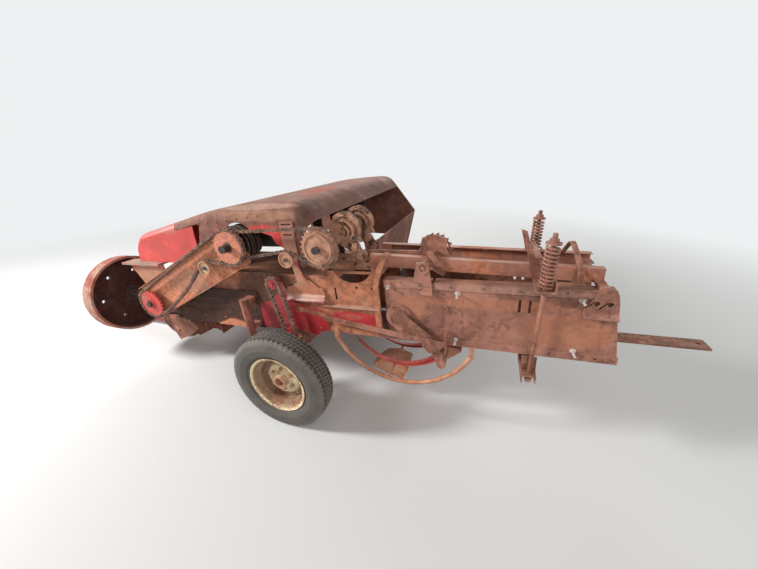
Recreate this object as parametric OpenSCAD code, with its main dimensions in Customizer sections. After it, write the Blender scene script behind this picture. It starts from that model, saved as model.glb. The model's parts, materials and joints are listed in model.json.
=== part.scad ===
// Square baler, towed and parked with its hitch on the ground.
// Drawn level: X forward, Y to the left, Z up, from the point on the wheel axle line
// under the middle of the bale chamber. parked() then tips it nose down onto the ground.

/* [Wheels] */
// Outer radius of a road tyre
tyre_r = 348; // [330:1:360]
// Width of a road tyre
tyre_w = 175; // [160:1:185]
// Radius of the rim's lip
rim_r = 208; // [200:1:212]
// Width of the rim between its lips
rim_w = 134; // [126:1:140]
// Depth of the rim's dish below its outer lip
dish = 78; // [60:1:90]
// Distance of the left wheel's middle from the chamber's middle
left_y = 502; // [495:1:530]
// Distance of the right wheel's middle from the chamber's middle
right_y = 1785; // [1760:1:1850]
// Radius of a wheel spindle
spindle_r = 19; // [16:0.5:22]

/* [Bale chamber] */
// Width inside the chamber
bale_w = 457; // [440:1:470]
// Height inside the chamber
bale_h = 380; // [350:1:400]
// Height of the chamber floor's top over the axle line
floor_z = 252; // [245:1:262]
// Thickness of the chamber's plates
plate = 5; // [4:0.5:8]
// Leg of the chamber's edge angles
angle_leg = 42; // [36:1:48]
// Thickness of the chamber's edge angles
angle_t = 6; // [4:0.5:8]
// Reach of the rear chamber behind the axle, at its top
rear_top = 1815; // [1780:1:1850]
// Extra reach of the rear chamber at its bottom
rear_slant = 62; // [30:1:75]
// Reach of the plunger casing in front of the axle
casing_front = 1120; // [1080:1:1160]

/* [Drive] */
// Outer radius of the flywheel
flywheel_r = 330; // [300:1:335]
// Width of the flywheel's rim
flywheel_w = 105; // [80:1:115]
// Place of the flywheel's rim edge in front of the axle
flywheel_x = 1730; // [1710:1:1745]
// Height of the flywheel's shaft
shaft_z = 370; // [365:1:380]
// Sideways place of the flywheel's shaft
shaft_y = 190; // [180:1:200]
// Radius of the splined input shaft
input_r = 17.5; // [16:0.5:22]
// Pitch of the roller chains
pitch = 31.75; // [30:0.25:34]
// Count of the teeth on each large sprocket
sprocket_teeth = 23; // [20:1:26]
// Width of a roller chain
chain_w = 26; // [20:1:30]
// Sideways place of the main chain's middle
chain_y = 350; // [345:1:360]

/* [Hood and feeder] */
// Reach of the hood and the feeder to the right
hood_right = 1500; // [1450:5:1530]
// Thickness of the hood's sheet
sheet_t = 4; // [3:0.5:5]
// Radius of the hood's rolled left edge
roll_r = 50; // [40:1:60]
// Height of the feeder's deck
deck_z = 262; // [255:1:270]

/* [Pickup] */
// Height of the reel's shaft
reel_z = 150; // [140:1:165]
// Place of the reel's shaft in front of the axle
reel_x = 860; // [850:1:880]
// Radius to the tips of the tines
tine_r = 290; // [270:1:300]
// Count of the reel's tine bars
tine_bars = 4; // [3:1:5]
// Count of the tines on each bar
tine_count = 16; // [12:1:18]
// Spacing of the tines along a bar
tine_gap = 75; // [70:1:75]
// Width of a stripper band between two tines
band_w = 45; // [35:1:50]
// Radius of the stripper bands round the reel's shaft
band_r = 258; // [250:1:262]

// Place of the pickup's lift pivot in front of the axle
lift_x = 520; // [510:1:530]
// Height of the pickup's lift pivot
lift_z = 330; // [325:1:335]
// Place of the gauge wheel in front of the axle
gauge_x = 800; // [780:1:820]
// Height of the gauge wheel's axle
gauge_z = -118; // [-122:1:-110]
// Radius of the gauge wheel
gauge_r = 155; // [145:1:158]

/* [Hitch] */
// Reach of the hitch pin in front of the axle
hitch_x = 2820; // [2700:5:2900]
// Place of the tongue's swing pin in front of the axle
tongue_pivot_x = 1190; // [1185:1:1200]
// Height of the tongue's middle
tongue_z = -70; // [-80:1:-60]
// Side of the tongue's box section
tongue_w = 90; // [80:1:100]
// Sideways place of the tongue
tongue_y = -130; // [-150:1:-120]
// Radius of the hitch pin's bore
hitch_bore_r = 14; // [12:0.5:17]

/* [Hidden] */
$fn = 64;

// Gap between pieces that are bolted together
seat = 0.3;

half_in = bale_w / 2;
wall_y = half_in + plate;
half_out = wall_y + angle_t;
skin_y = half_out + seat;
shaft_r = 25;
roof_z = floor_z + bale_h + angle_t;
keel_z = floor_z - plate - angle_t;

// The stance: the hitch end lies on the ground
hitch_low = tongue_z - tongue_w / 2 - 14;
hitch_reach = hitch_x + 70;
park_len = sqrt(hitch_reach * hitch_reach + hitch_low * hitch_low);
park_pitch = asin(tyre_r / park_len) + atan2(hitch_low, hitch_reach);
bar_end = 2350;
shift_x = (hitch_x + 70 - bar_end) / 2;
shift_y = (left_y + tyre_w / 2 - right_y - tyre_w / 2) / 2;

module parked() {
  translate([-shift_x, -shift_y, tyre_r])
    rotate([0, park_pitch, 0])
      children();
}

// A profile in X and Z, from y0 to y1
module across(y0, y1) {
  translate([0, y1, 0])
    rotate([90, 0, 0])
      linear_extrude(y1 - y0)
        children();
}

// A profile in Y and Z, from x0 to x1
module along(x0, x1) {
  translate([x0, 0, 0])
    rotate([90, 0, 90])
      linear_extrude(x1 - x0)
        children();
}

// A round bar across the machine
module bar_y(x, z, r, y0, y1) {
  translate([x, y0, z])
    rotate([-90, 0, 0])
      cylinder(r = r, h = y1 - y0);
}

// A round bar along the machine
module bar_x(y, z, r, x0, x1) {
  translate([x0, y, z])
    rotate([0, 90, 0])
      cylinder(r = r, h = x1 - x0);
}

// A flat link with round ends between two points of a side view
module link_2d(p, q, r1, r2) {
  a = atan2(q[1] - p[1], q[0] - p[0]);
  lean = acos((r1 - r2) / norm(q - p));
  polygon(concat(arc(q, r2, a - lean, a + lean, 8),
    arc(p, r1, a + lean, a + 360 - lean, 8)));
}

function unit(v) = v / norm(v);
function left_of(v) = [-v[1], v[0]];
function arc(c, r, a0, a1, n) =
  [for (i = [0:n]) c + r * [cos(a0 + (a1 - a0) * i / n), sin(a0 + (a1 - a0) * i / n)]];

// Normal of an open path at its point i, long enough to keep a sheet's thickness
function mitre(p, i) =
  let (
    a = unit(i == 0 ? p[1] - p[0] : p[i] - p[i - 1]),
    b = unit(i == len(p) - 1 ? p[i] - p[i - 1] : p[i + 1] - p[i]),
    m = left_of(a) + left_of(b)
  )
  m / (1 + a * b);

// Outline of a sheet of thickness t on the left of an open path
function sheet(p, t) =
  concat(p, [for (i = [len(p) - 1:-1:0]) p[i] + t * mitre(p, i)]);

// An open path with its inner corners rounded over the length r
function eased(p, r, n = 5) =
  [for (i = [0:len(p) - 1])
    if (i == 0 || i == len(p) - 1) p[i]
    else
      let (
        a = p[i] + min(r, norm(p[i - 1] - p[i]) / 2.1) * unit(p[i - 1] - p[i]),
        b = p[i] + min(r, norm(p[i + 1] - p[i]) / 2.1) * unit(p[i + 1] - p[i])
      )
      each [for (k = [0:n])
        let (t = k / n)
        (1 - t) * (1 - t) * a + 2 * t * (1 - t) * p[i] + t * t * b]];

// An angle bar along X: corner at y, z, legs towards sy and sz
module angle_x(x0, x1, y, z, sy, sz, leg_y = angle_leg, leg_z = angle_leg, t = angle_t) {
  along(x0, x1)
    translate([y, z])
      scale_sign(sy, sz)
        polygon([[0, 0], [leg_y, 0], [leg_y, t], [t, t], [t, leg_z], [0, leg_z]]);
}

module scale_sign(sy, sz) {
  mirror([sy < 0 ? 1 : 0, 0])
    mirror([0, sz < 0 ? 1 : 0])
      children();
}

// The same piece on both sides of the machine's middle
module both_sides() {
  children();
  mirror([0, 1, 0]) children();
}

// Part of a flat ring between two angles
module ring_2d(c, r1, r2, a0, a1, n = 12) {
  polygon(concat(arc(c, r2, a0, a1, n), arc(c, r1, a1, a0, n)));
}

// A path moved by d to its left
function inset(p, d) = [for (i = [0:len(p) - 1]) p[i] + d * mitre(p, i)];

// Section of a sheet rolled over at its left edge, from the edge to the far end:
// [sideways place, depth below the path] on the circle of radius rad
function roll_side(y_in, y_out, rad, drop, n = 5) =
  concat([[y_out - roll_r + rad, roll_r + drop]],
    [for (k = [0:n]) [y_out - roll_r + rad * cos(90 * k / n), roll_r - rad * sin(90 * k / n)]],
    [[y_in, roll_r - rad]]);

// A sheet that follows a path of the side view and is rolled over at its left edge
module rolled_sheet(path, y_in, y_out, drop = 6) {
  outer = roll_side(y_in, y_out, roll_r, drop);
  inner = roll_side(y_in, y_out, roll_r - sheet_t, drop);
  m = len(outer);
  function ring(i) =
    let (n = mitre(path, i))
    [for (q = concat(outer, inner)) [path[i][0] + q[1] * n[0], q[0], path[i][1] + q[1] * n[1]]];
  points = [for (i = [0:len(path) - 1]) each ring(i)];
  last = (len(path) - 1) * 2 * m;
  function face(a, b, c, d) = [[c, b, a], [d, c, a]];
  skin = [for (i = [0:len(path) - 2], k = [0:m - 2])
    let (a = i * 2 * m + k, b = a + 2 * m)
    each concat(face(a, b, b + 1, a + 1), face(a + m + 1, b + m + 1, b + m, a + m))];
  rims = [for (i = [0:len(path) - 2], k = [0, m - 1])
    let (a = i * 2 * m + k, b = a + 2 * m)
    each k == 0 ? face(a, a + m, b + m, b) : face(a, b, b + m, a + m)];
  caps = [for (k = [0:m - 2])
    each concat(face(k, k + 1, k + m + 1, k + m),
      face(last + k + m, last + k + m + 1, last + k + 1, last + k))];
  polyhedron(points, concat(skin, rims, caps), convexity = 6);
}

/* Bale chamber */

// Slots and holes of a chamber side, in its side view
side_slots = [[-1411, 529], [-1459, 529]];
side_holes = [[-1036, 551], [-1036, 495], [-1614, 620], [-1782, 261], [-1861, 259]];

module chamber_side() {
  difference() {
    union() {
      // plate
      across(half_in, wall_y)
        polygon([[-676, floor_z], [-676, roof_z - angle_t],
          [-rear_top, roof_z - angle_t], [-rear_top - rear_slant, floor_z]]);
      // bottom edge angle
      angle_x(-rear_top - rear_slant, -640.3, half_out, keel_z, -1, 1);
      // top edge angle, with a gap where the bale trips the star wheel
      for (x = [[-rear_top, -971], [-955, -676]])
        angle_x(x[0], x[1], half_out, roof_z, -1, -1, 70);
    }
    for (p = side_slots)
      across(half_in - 1, half_out + 1)
        translate(p)
          square([15, 78], center = true);
    for (p = side_holes)
      bar_y(p[0], p[1], 6.5, half_in - 1, half_out + 1);
    // the front end is cut back towards its foot
    across(half_in - 1, half_out + 1)
      polygon([[-640, keel_z + angle_leg], [-640, roof_z + 1], [-674, roof_z + 1],
        [-686, keel_z + angle_leg]]);
  }
}

module chamber_side_left() {
  color("saddlebrown") chamber_side();
}

module chamber_side_right() {
  color("saddlebrown") mirror([0, 1, 0]) chamber_side();
}

module chamber_floor() {
  color("sienna")
    difference() {
      translate([-rear_top - rear_slant + 20, -half_in + 0.3, floor_z - plate])
        cube([rear_top + rear_slant + 20 + 300, bale_w - 0.6, plate]);
      for (s = [-1, 1])
        translate([-560, s * 110 - 18, floor_z - plate - 1])
          cube([330, 36, plate + 2]);
    }
}

// Where the knotters drop through the casing's top
notch_c = [-475, 745];
notch_r = 140;
casing_rear = -640;

module casing_wall(opening) {
  across(half_in, wall_y)
    difference() {
      polygon([[casing_rear, floor_z], [casing_rear, roof_z + plate],
        [casing_front, roof_z + plate], [casing_front, floor_z]]);
      if (opening)
        translate([-270, floor_z + 30])
          square([640, bale_h - 60]);
      else
        translate([-351, 482])
          square([14, 86]);
    }
}

module plunger_casing() {
  color("sienna") {
    difference() {
      union() {
        casing_wall(false);
        mirror([0, 1, 0]) casing_wall(true);
        // top plate, inside the walls' upper edges
        translate([casing_rear, -half_in - 1, roof_z])
          cube([casing_front - casing_rear, 2 * half_in + 2, plate]);
        // side plates that shield the knotters
        both_sides()
          across(wall_y - 1, half_out)
            polygon([[-648, roof_z - 31], [-648, roof_z + 64], [-310, roof_z + 40],
              [-310, roof_z - 31]]);
      }
      // slots for the needles and the round notch for the knotters
      for (s = [-1, 1])
        translate([-560, s * 110 - 20, roof_z - 1])
          cube([330, 40, plate + 2]);
      both_sides()
        bar_y(notch_c[0], notch_c[1], notch_r, 165, 250);
      for (p = [[-494, 575], [-596, 575]])
        bar_y(p[0], p[1], 9, half_in - 1, half_out + 1);
    }
    both_sides()
      angle_x(casing_rear, casing_front, half_out, keel_z, -1, 1);
    // ledge along the left wall
    translate([casing_rear, wall_y - 1, 440])
      cube([390, 28, 7]);
    end_strap();
  }
}

// Strap at the casing's end, curled over to the rail
module end_strap() {
  strap_y = wall_y + 20;
  translate([casing_rear - 3, strap_y, 304])
    cube([33, 6, roof_z - 30 - 304]);
  translate([casing_rear - 3, strap_y, roof_z - 36])
    rotate([0, -17, 0])
      along(0, 33)
        polygon(sheet(eased([[0, 0], [0, 105], [-50, 172], [-135, 170]], 60), 6));
  translate([casing_rear - 3, wall_y - 1, 560])
    cube([33, 22, 30]);
}

module plunger() {
  color("dimgray")
    difference() {
      translate([-60, -half_in + 8, floor_z + seat])
        cube([420, bale_w - 16, bale_h - 16]);
      for (s = [-1, 1])
        translate([-61, s * 110 - 20, floor_z - 1])
          cube([300, 40, bale_h + 2]);
      translate([80, -half_in + 40, floor_z + 60])
        cube([400, bale_w - 80, bale_h]);
    }
}

/* Front frame */

frame_rear = 290;

module front_frame() {
  color("sienna") {
    for (s = [-1, 1])
      mirror([0, s < 0 ? 1 : 0, 0])
        across(skin_y, skin_y + 6)
          polygon([[frame_rear, 210], [frame_rear, 500], [1100, 500], [1160, 300],
            [1120, 190]]);
    for (s = [-1, 1])
      translate([frame_rear, s > 0 ? skin_y - 50 : -skin_y - 1, 204])
        cube([910, 51, 6.5]);
    for (x = [1090, frame_rear + 10])
      translate([x, -skin_y - 1, 205])
        cube([12, 2 * skin_y + 2, 30]);
    // ribs pressed along the left plate
    for (z = [300, 360, 420])
      translate([frame_rear + 30, skin_y + 5, z])
        cube([740, 5, 14]);
    // flange and gusset low on the left
    translate([400, skin_y + 5, 222])
      cube([290, 42, 6]);
    polyhedron([[670, skin_y + 44, 225], [419, skin_y + 44, 225], [419, skin_y + 3, 225],
      [670, skin_y + 3, 225], [445, skin_y + 3, 342]],
      [[0, 1, 2, 3], [1, 0, 4], [2, 1, 4], [3, 2, 4], [0, 3, 4]]);
  }
}

// Outline of the hanger's left face
hanger_face = [[1100, 203.7], [1165, 192], [1180, 203.7], [1321, 203.7], [1308, 120],
  [1312, 40], [1290, -37], [1160, 20], [1009, 110], [1062, 150]];

module hanger() {
  color("sienna") {
    difference() {
      across(half_out - 30, half_out)
        polygon(hanger_face);
      bar_y(1250, 60, 12, 0, 400);
    }
    // inner cheek that reaches forward under the drive shaft
    across(150, 190)
      polygon([[1180, 203.7], [1560, 166], [1440, 20], [1330, -50], [1180, -20]]);
    along(1131, 1143)
      polygon([[-half_out, 203.7], [half_out, 203.7], [half_out, 60], [160, -20],
        [-60, -40], [-60, -140], [-200, -140], [-260, 90]]);
    translate([1142, 140, 60])
      cube([60, half_out - 160, 80]);
    // ears and pin that carry the tongue
    for (z = [tongue_z + tongue_w / 2 + 1, tongue_z - tongue_w / 2 - 13])
      translate([1142, tongue_y - 45, z])
        cube([76, 90, 12]);
    translate([tongue_pivot_x, tongue_y, tongue_z - tongue_w / 2 - 13])
      cylinder(r = 15, h = tongue_w + 26);
  }
}

module gearbox() {
  color("dimgray") {
    translate([casing_front + seat, -120, 240])
      cube([320, shaft_y + 168, 260]);
    bar_x(shaft_y, shaft_z, 70, casing_front + 319, 1600);
    bar_x(shaft_y, shaft_z, 95, casing_front + 319, casing_front + 345);
    bar_x(shaft_y, shaft_z, shaft_r, 1600, 1865);
    bar_x(shaft_y, shaft_z, input_r, 1865, 1945);
    bar_y(small_c[0], small_c[1], 22, shaft_y + 40, chain_y + 32);
    // ribs on the left cheek
    for (z = [290, 450])
      translate([casing_front + 50, shaft_y + 47, z])
        cube([220, 14, 12]);
  }
}

module flywheel() {
  color("rosybrown")
    translate([flywheel_x, shaft_y, shaft_z])
      rotate([0, 90, 0])
        difference() {
          rotate_extrude($fn = 96)
            polygon([[shaft_r + seat, 20], [58, 20], [62, 66], [flywheel_r - 110, 84],
              [flywheel_r - 26, 70], [flywheel_r - 20, 0], [flywheel_r, 0],
              [flywheel_r, flywheel_w], [flywheel_r - 30, flywheel_w],
              [flywheel_r - 110, flywheel_w + 6], [75, flywheel_w - 2],
              [60, flywheel_w + 22], [shaft_r + seat, flywheel_w + 22]]);
          for (a = [30:60:359])
            rotate(a)
              translate([flywheel_r - 125, 0, 0])
                cylinder(r = 14, h = 200);
        }
}

/* Drive */

module drive_tray() {
  color("peru") {
    difference() {
      across(305, 309)
        polygon([[1396, 490], [1263, 247], [281, 707], [203, 745], [196, 800],
          [375, 960]]);
      bar_y(small_c[0], small_c[1], 40, 300, 312);
      bar_y(big_c[0], big_c[1], 40, 300, 312);
    }
    // folded top and bottom lips
    across(308, 333)
      polygon([[1400, 492], [375, 964], [373, 960], [1398, 488]]);
    across(308, 330)
      polygon([[1263, 243], [277, 705], [199, 742], [201, 746], [279, 709], [1265, 247]]);
    // idler on its pin
    idler(idler_c, 308, chain_y, chain_w);
  }
}

// An idler roller between a chain's plates, with a cupped face, on a pin from y0
module idler(c, y0, y, w) {
  face = y + w / 2 + 1.5;
  bar_y(c[0], c[1], idler_r - roller_in, y - w / 2 + 4.5, y + w / 2 - 4.5);
  bar_y(c[0], c[1], 30, y, face + 1);
  difference() {
    bar_y(c[0], c[1], idler_r, face, face + 12);
    bar_y(c[0], c[1], idler_r - 8, face + 4, face + 13);
  }
  bar_y(c[0], c[1], 13, y0, face + 16);
}

small_c = [1278, 377];
big_c = [309, 856];
idler_c = [552, 714];
idler_r = 50;
sprocket_r = pitch / (2 * sin(180 / sprocket_teeth));
// How far inside the chain's pitch line a sprocket's rim lies
roller_in = 7 + seat;
clutch_teeth = 18;
clutch_sprocket_r = pitch / (2 * sin(180 / clutch_teeth));
clutch_chain_y = 320;
idler2_c = [-99, 780];
down_c = [80, 600];
drum_c = [20, 230];
down_r = 45;
knot_c = [-331, 850];

// Chain round a list of wheels, each with a centre, a radius and the side it is passed on
function chain_dir(a, b) =
  let (d = b[0] - a[0])
  atan2(d[1], d[0]) + asin((a[2] * a[1] - b[2] * b[1]) / norm(d));
function off_right(w, phi) = w[0] + w[2] * w[1] * [sin(phi), -cos(phi)];
function turn(a, b, s) = let (t = (b - a) * s) s * (t - 360 * floor(t / 360));

// Each wheel of a chain: [centre, pitch radius, side, sag to the left of the next strand]
main_wheels = [[small_c, sprocket_r, -1, 36], [idler_c, idler_r, 1, 0],
  [big_c, sprocket_r, -1, 0]];
clutch_wheels = [[big_c, clutch_sprocket_r, -1, 0], [idler2_c, idler_r, 1, 0],
  [knot_c, sprocket_r, -1, 0]];
down_wheels = [[down_c, down_r, -1, 0], [drum_c, down_r, -1, 0]];

// How far the chain turns on wheel i, and how many links that takes
function wrap(wheels, i) =
  let (
    n = len(wheels),
    start = chain_dir(wheels[(i + n - 1) % n], wheels[i]),
    sweep = turn(start, chain_dir(wheels[i], wheels[(i + 1) % n]), wheels[i][2])
  )
  [start, sweep, max(1, round(abs(sweep) * PI / 180 * wheels[i][1] / pitch))];

// Directions of the teeth of wheel i: between the pins, then on round the bare part
function teeth_at(wheels, i) =
  let (
    w = wrap(wheels, i),
    bare = (360 - abs(w[1])) * sign(w[1]),
    more = max(1, round(abs(bare) * PI / 180 * wheels[i][1] / pitch))
  )
  concat([for (k = [0:w[2] - 1]) w[0] + w[1] * (k + 0.5) / w[2]],
    [for (k = [0:more - 1]) w[0] + w[1] + bare * (k + 0.5) / more]);

// A toothed sprocket for wheel i of a chain, bored for its shaft
module sprocket(wheels, i, y0, y1, bore) {
  w = wheels[i];
  difference() {
    union() {
      bar_y(w[0][0], w[0][1], w[1] - roller_in, y0, y1);
      for (phi = teeth_at(wheels, i))
        across(y0 + 1, y1 - 1)
          translate(w[0])
            rotate(phi - 90 * w[2])
              polygon([[w[1] - 12, -6.5], [w[1] + 6, -2.5], [w[1] + 6, 2.5],
                [w[1] - 12, 6.5]]);
    }
    bar_y(w[0][0], w[0][1], bore, y0 - 1, y1 + 1);
  }
}

// The pins of the chain, about one pitch apart
function chain_pins(wheels) =
  let (n = len(wheels))
  [for (i = [0:n - 1])
    let (
      w = wheels[i],
      next = wheels[(i + 1) % n],
      phi = chain_dir(w, next),
      p = off_right(w, phi),
      q = off_right(next, phi),
      links = max(1, round(norm(q - p) / pitch)),
      sag = w[3] * 4 * left_of(unit(q - p)),
      round_next = wrap(wheels, (i + 1) % n)
    )
    each concat(
      [for (k = [0:links - 1]) p + (q - p) * k / links + sag * k / links * (1 - k / links)],
      [for (k = [0:round_next[2] - 1])
        off_right(next, phi + round_next[1] * k / round_next[2])])];

module chain(wheels, y, w) {
  pins = chain_pins(wheels);
  n = len(pins);
  side = 3;
  half = 9;
  for (s = [0, w - side])
    across(y - w / 2 + s, y - w / 2 + s + side)
      difference() {
        polygon([for (i = [0:n - 1]) pins[i]
          + half * left_of(unit(pins[(i + 1) % n] - pins[(i + n - 1) % n]))]);
        polygon([for (i = [0:n - 1]) pins[i]
          - half * left_of(unit(pins[(i + 1) % n] - pins[(i + n - 1) % n]))]);
      }
  across(y - w / 2 + side / 2, y + w / 2 - side / 2)
    for (p = pins)
      translate(p)
        circle(7, $fn = 6);
}

module small_sprocket() {
  color("firebrick") {
    sprocket(main_wheels, 0, chain_y - 8, chain_y + 8, 22.3);
    difference() {
      bar_y(small_c[0], small_c[1], 42, chain_y - 30, chain_y + 16);
      bar_y(small_c[0], small_c[1], 22.3, chain_y - 40, chain_y + 8);
      bar_y(small_c[0], small_c[1], 32, chain_y - 2, chain_y + 20);
    }
  }
}

module big_sprocket() {
  color("salmon") sprocket(main_wheels, 2, chain_y - 8, chain_y + 8, shaft_r + seat);
}

module main_chain() {
  color("dimgray") chain(main_wheels, chain_y, chain_w);
}

// Fins of the slip clutch: [start, radius], each 9 thick
clutch_fins = [[289, 116], [262, 122], [235, 116], [208, 122], [181, 112], [154, 104]];

module slip_clutch() {
  color("dimgray") {
    for (fin = clutch_fins)
      bar_y(big_c[0], big_c[1], fin[1], fin[0], fin[0] + 9);
    bar_y(big_c[0], big_c[1], 70, 120, 296);
    bar_y(big_c[0], big_c[1], shaft_r, 295, chain_y + 60);
    sprocket(clutch_wheels, 0, clutch_chain_y - 7, clutch_chain_y + 7, shaft_r - 1);
    // bearing block behind the fins
    difference() {
      translate([-10, 60, 800])
        cube([240, 75, 110]);
      translate([-11, 75, 815])
        cube([90, 45, 80]);
    }
    bar_y(big_c[0], big_c[1], 62, 60, 125);
    translate([200, 60, 800])
      cube([90, 62, 110]);
  }
}

module clutch_chain() {
  color("dimgray") chain(clutch_wheels, clutch_chain_y, 22);
}

module cross_shaft() {
  color("peru") {
    bar_y(knot_c[0], knot_c[1], 22, -230, 372);
    sprocket(clutch_wheels, 2, clutch_chain_y - 7, clutch_chain_y + 7, 21);
    // drum on the sprocket's face
    difference() {
      bar_y(knot_c[0], knot_c[1], 90, clutch_chain_y + 6, clutch_chain_y + 26);
      bar_y(knot_c[0], knot_c[1], 82, clutch_chain_y + 20, clutch_chain_y + 27);
    }
    for (s = [-1, 1])
      bar_y(knot_c[0], knot_c[1], 34, s * 222 - 8, s * 222 + 8);
  }
}

// Holes of the bracket that hangs from the hood: height and length of each slot
bracket_slots = [[911, 70], [975, 70]];

module side_plates() {
  color("firebrick") {
    // slotted bracket under the hood, with the strap below it
    across(skin_y + 7, skin_y + 12)
      difference() {
        polygon([[-36, 992], [-132, 992], [-127, 797], [-115, 700], [-165, 590],
          [-85, 590], [-68, 700], [-62, 770], [-32, 815]]);
        for (h = bracket_slots)
          translate([-83, h[0]])
            square([h[1], 12], center = true);
      }
    // scalloped plate whose lower edge flares outwards over two bends
    across(skin_y + 1, skin_y + 7.5)
      polygon([[18, 515], [10, 555], [-40, 570], [-70, 595], [-105, 612], [-136, 619],
        [-170, 612], [-205, 590], [-230, 566], [-258, 564], [-272, 515]]);
    along(-271, 17)
      polygon(sheet([[skin_y + 2, 530], [skin_y + 2, 512], [skin_y + 14, 497],
        [skin_y + 17, 485], [skin_y + 32, 470]], 4.5));
    // red plates behind the down chain
    across(skin_y, skin_y + 6)
      polygon([[284, 405], [170, 440], [60, 530], [-20, 530], [-20, 372], [-80, 372],
        [-262, 340], [-255, 247], [-176, 228], [-180, 205], [-145, 201], [-12, 226],
        [60, 214], [284, 220]]);
    // levers between the plates
    across(skin_y + 5, skin_y + 11)
      polygon([[-10, 450], [-28, 450], [-230, 400], [-228, 388], [-22, 426], [-10, 426]]);
    // stub shafts of the down chain and the idler of the clutch chain
    for (c = [down_c, drum_c]) {
      bar_y(c[0], c[1], 15, skin_y + 1, 318);
      bar_y(c[0], c[1], down_r - roller_in, 293, 307);
    }
    across(skin_y + 1, skin_y + 7)
      link_2d(down_c, [40, 510], 26, 22);
    idler(idler2_c, skin_y + 8, clutch_chain_y, 22);
    across(skin_y + 8, skin_y + 11)
      link_2d(idler2_c, [-83, 860], 24, 20);
  }
}

module down_chain() {
  color("dimgray") chain(down_wheels, 300, 22);
}

/* Knotters */

// Middle of a knotter's toothed sector, above and behind the cross shaft
sector_c = knot_c + [-78, 60];
sector_r = 108;

module knotter(y) {
  translate([0, y, 0])
    difference() {
      union() {
        bar_y(sector_c[0], sector_c[1], sector_r - 22, -12, 2);
        // toothed rim over the top and front
        across(-16, 14)
          ring_2d(sector_c, sector_r - 26, sector_r - 8, 20, 215, 24);
        for (a = [48:7:118])
          across(-14, 12)
            translate(sector_c)
              rotate(a)
                polygon([[sector_r - 12, -4.5], [sector_r, -2.5], [sector_r, 2.5],
                  [sector_r - 12, 4.5]]);
        // cam ribs that wind down behind
        across(1, 30)
          ring_2d(sector_c + [8, -8], 62, 74, 85, 235, 18);
        across(1, 24)
          ring_2d(sector_c + [14, -14], 34, 46, 110, 260, 14);
        bar_y(sector_c[0] + 52, sector_c[1] - 14, 56, -4, 22);
        bar_y(knot_c[0], knot_c[1], 38, -30, 26);
        // bill hook and twine fingers
        across(10, 34)
          polygon([[-440, 868], [-470, 882], [-512, 862], [-520, 838], [-500, 842],
            [-488, 850], [-470, 842], [-492, 824], [-484, 806], [-462, 812], [-448, 836]]);
        across(-2, 12)
          polygon([[-420, 850], [-452, 870], [-500, 800], [-520, 760], [-505, 752],
            [-470, 790], [-430, 830]]);
        bar_y(-470, 800, 20, -20, 40);
        // frame that stands on the casing's top
        across(-34, -15)
          polygon([[-560, roof_z + plate + seat], [-548, 700], [-480, 780], [-470, 850],
            [-360, 880], [-310, 850], [-360, 800], [-420, 760], [-430, roof_z + plate + seat]]);
        translate([-560, -60, roof_z + plate + seat])
          cube([130, 46, 8]);
        // twine disc beside the frame
        bar_y(-500, 745, 34, -16, 4);
        bar_y(-500, 745, 26, 3, 20);
      }
      bar_y(knot_c[0], knot_c[1], 22 + seat, -60, 60);
    }
}

module knotter_left() {
  color("saddlebrown") knotter(110);
}

module knotter_right() {
  color("saddlebrown") knotter(-110);
}

// Place of the star wheel: forward, sideways, up
star_c = [-948, 30, 768];
star_r = 102;
star_teeth = 18;

module star_wheel() {
  step = 360 / star_teeth;
  color("sienna")
    translate(star_c)
      rotate([90, 0, 0])
        difference() {
          union() {
            cylinder(r = 20, h = 30, center = true);
            difference() {
              linear_extrude(6, center = true)
                polygon([for (i = [0:star_teeth - 1], k = [0, 1])
                  (k == 0 ? star_r : star_r - 17)
                    * [cos((i + k * 0.25) * step), sin((i + k * 0.25) * step)]]);
              cylinder(r = star_r - 26, h = 10, center = true);
            }
            for (a = [10, 130, 250])
              rotate(a)
                translate([0, -9, -3])
                  cube([star_r - 24, 18, 6]);
          }
          cylinder(r = 10 + seat, h = 40, center = true);
        }
}

// Place of the trip shaft, in the side view
trip_c = [-913, 726];

module trip_linkage() {
  color("saddlebrown") {
    // plate beside the star wheel, and its stub axle
    across(54, 60)
      polygon([[-862, 800], [-873, 843], [-930, 868], [-977, 855], [-1017, 843],
        [-1017, 772], [-1046, 718], [-928, 696], [-862, 722]]);
    bar_y(star_c[0], star_c[2], 10, 8, 55);
    bar_y(star_c[0], star_c[2], 17, 46, 54.5);
    // long trip bar to the knotters
    across(54, 60)
      polygon([[-430, 766], [-870, 766], [-870, 725], [-460, 725]]);
    // shaft through the near rail to its bearing and bracket
    bar_y(trip_c[0], trip_c[1], 12, 55, skin_y + 14);
    difference() {
      bar_y(trip_c[0], trip_c[1], 33, skin_y, skin_y + 16);
      bar_y(trip_c[0], trip_c[1], 22, skin_y + 8, skin_y + 17);
    }
    across(skin_y, skin_y + 7)
      polygon([[-876, 752], [-866, 700], [-856, 640], [-905, 634], [-925, 604], [-890, 584],
        [-889, 568], [-930, 560], [-955, 566], [-963, 600], [-955, 650], [-946, 752]]);
    along(-961, -889)
      polygon([[skin_y + 6, 574], [skin_y + 20, 568], [skin_y + 20, 574], [skin_y + 6, 582]]);
    // arm from the shaft towards the star wheel
    across(150, 157)
      link_2d(trip_c, [-1006, 664], 20, 14);
    across(162, 168)
      link_2d([-938, 783], [-978, 722], 15, 15);
    bar_y(-948, 762, 9, 59, 163);
  }
}

// Height of the top rails' upper face at x
function rail_top(x) = roof_z + 79 + (x + 1712) * 0.038;
rail_h = 73;
rail_front = -564;
rail_rear = -1780;
// Sideways places of a rail's faces
rail_y = [100, 140];

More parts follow.
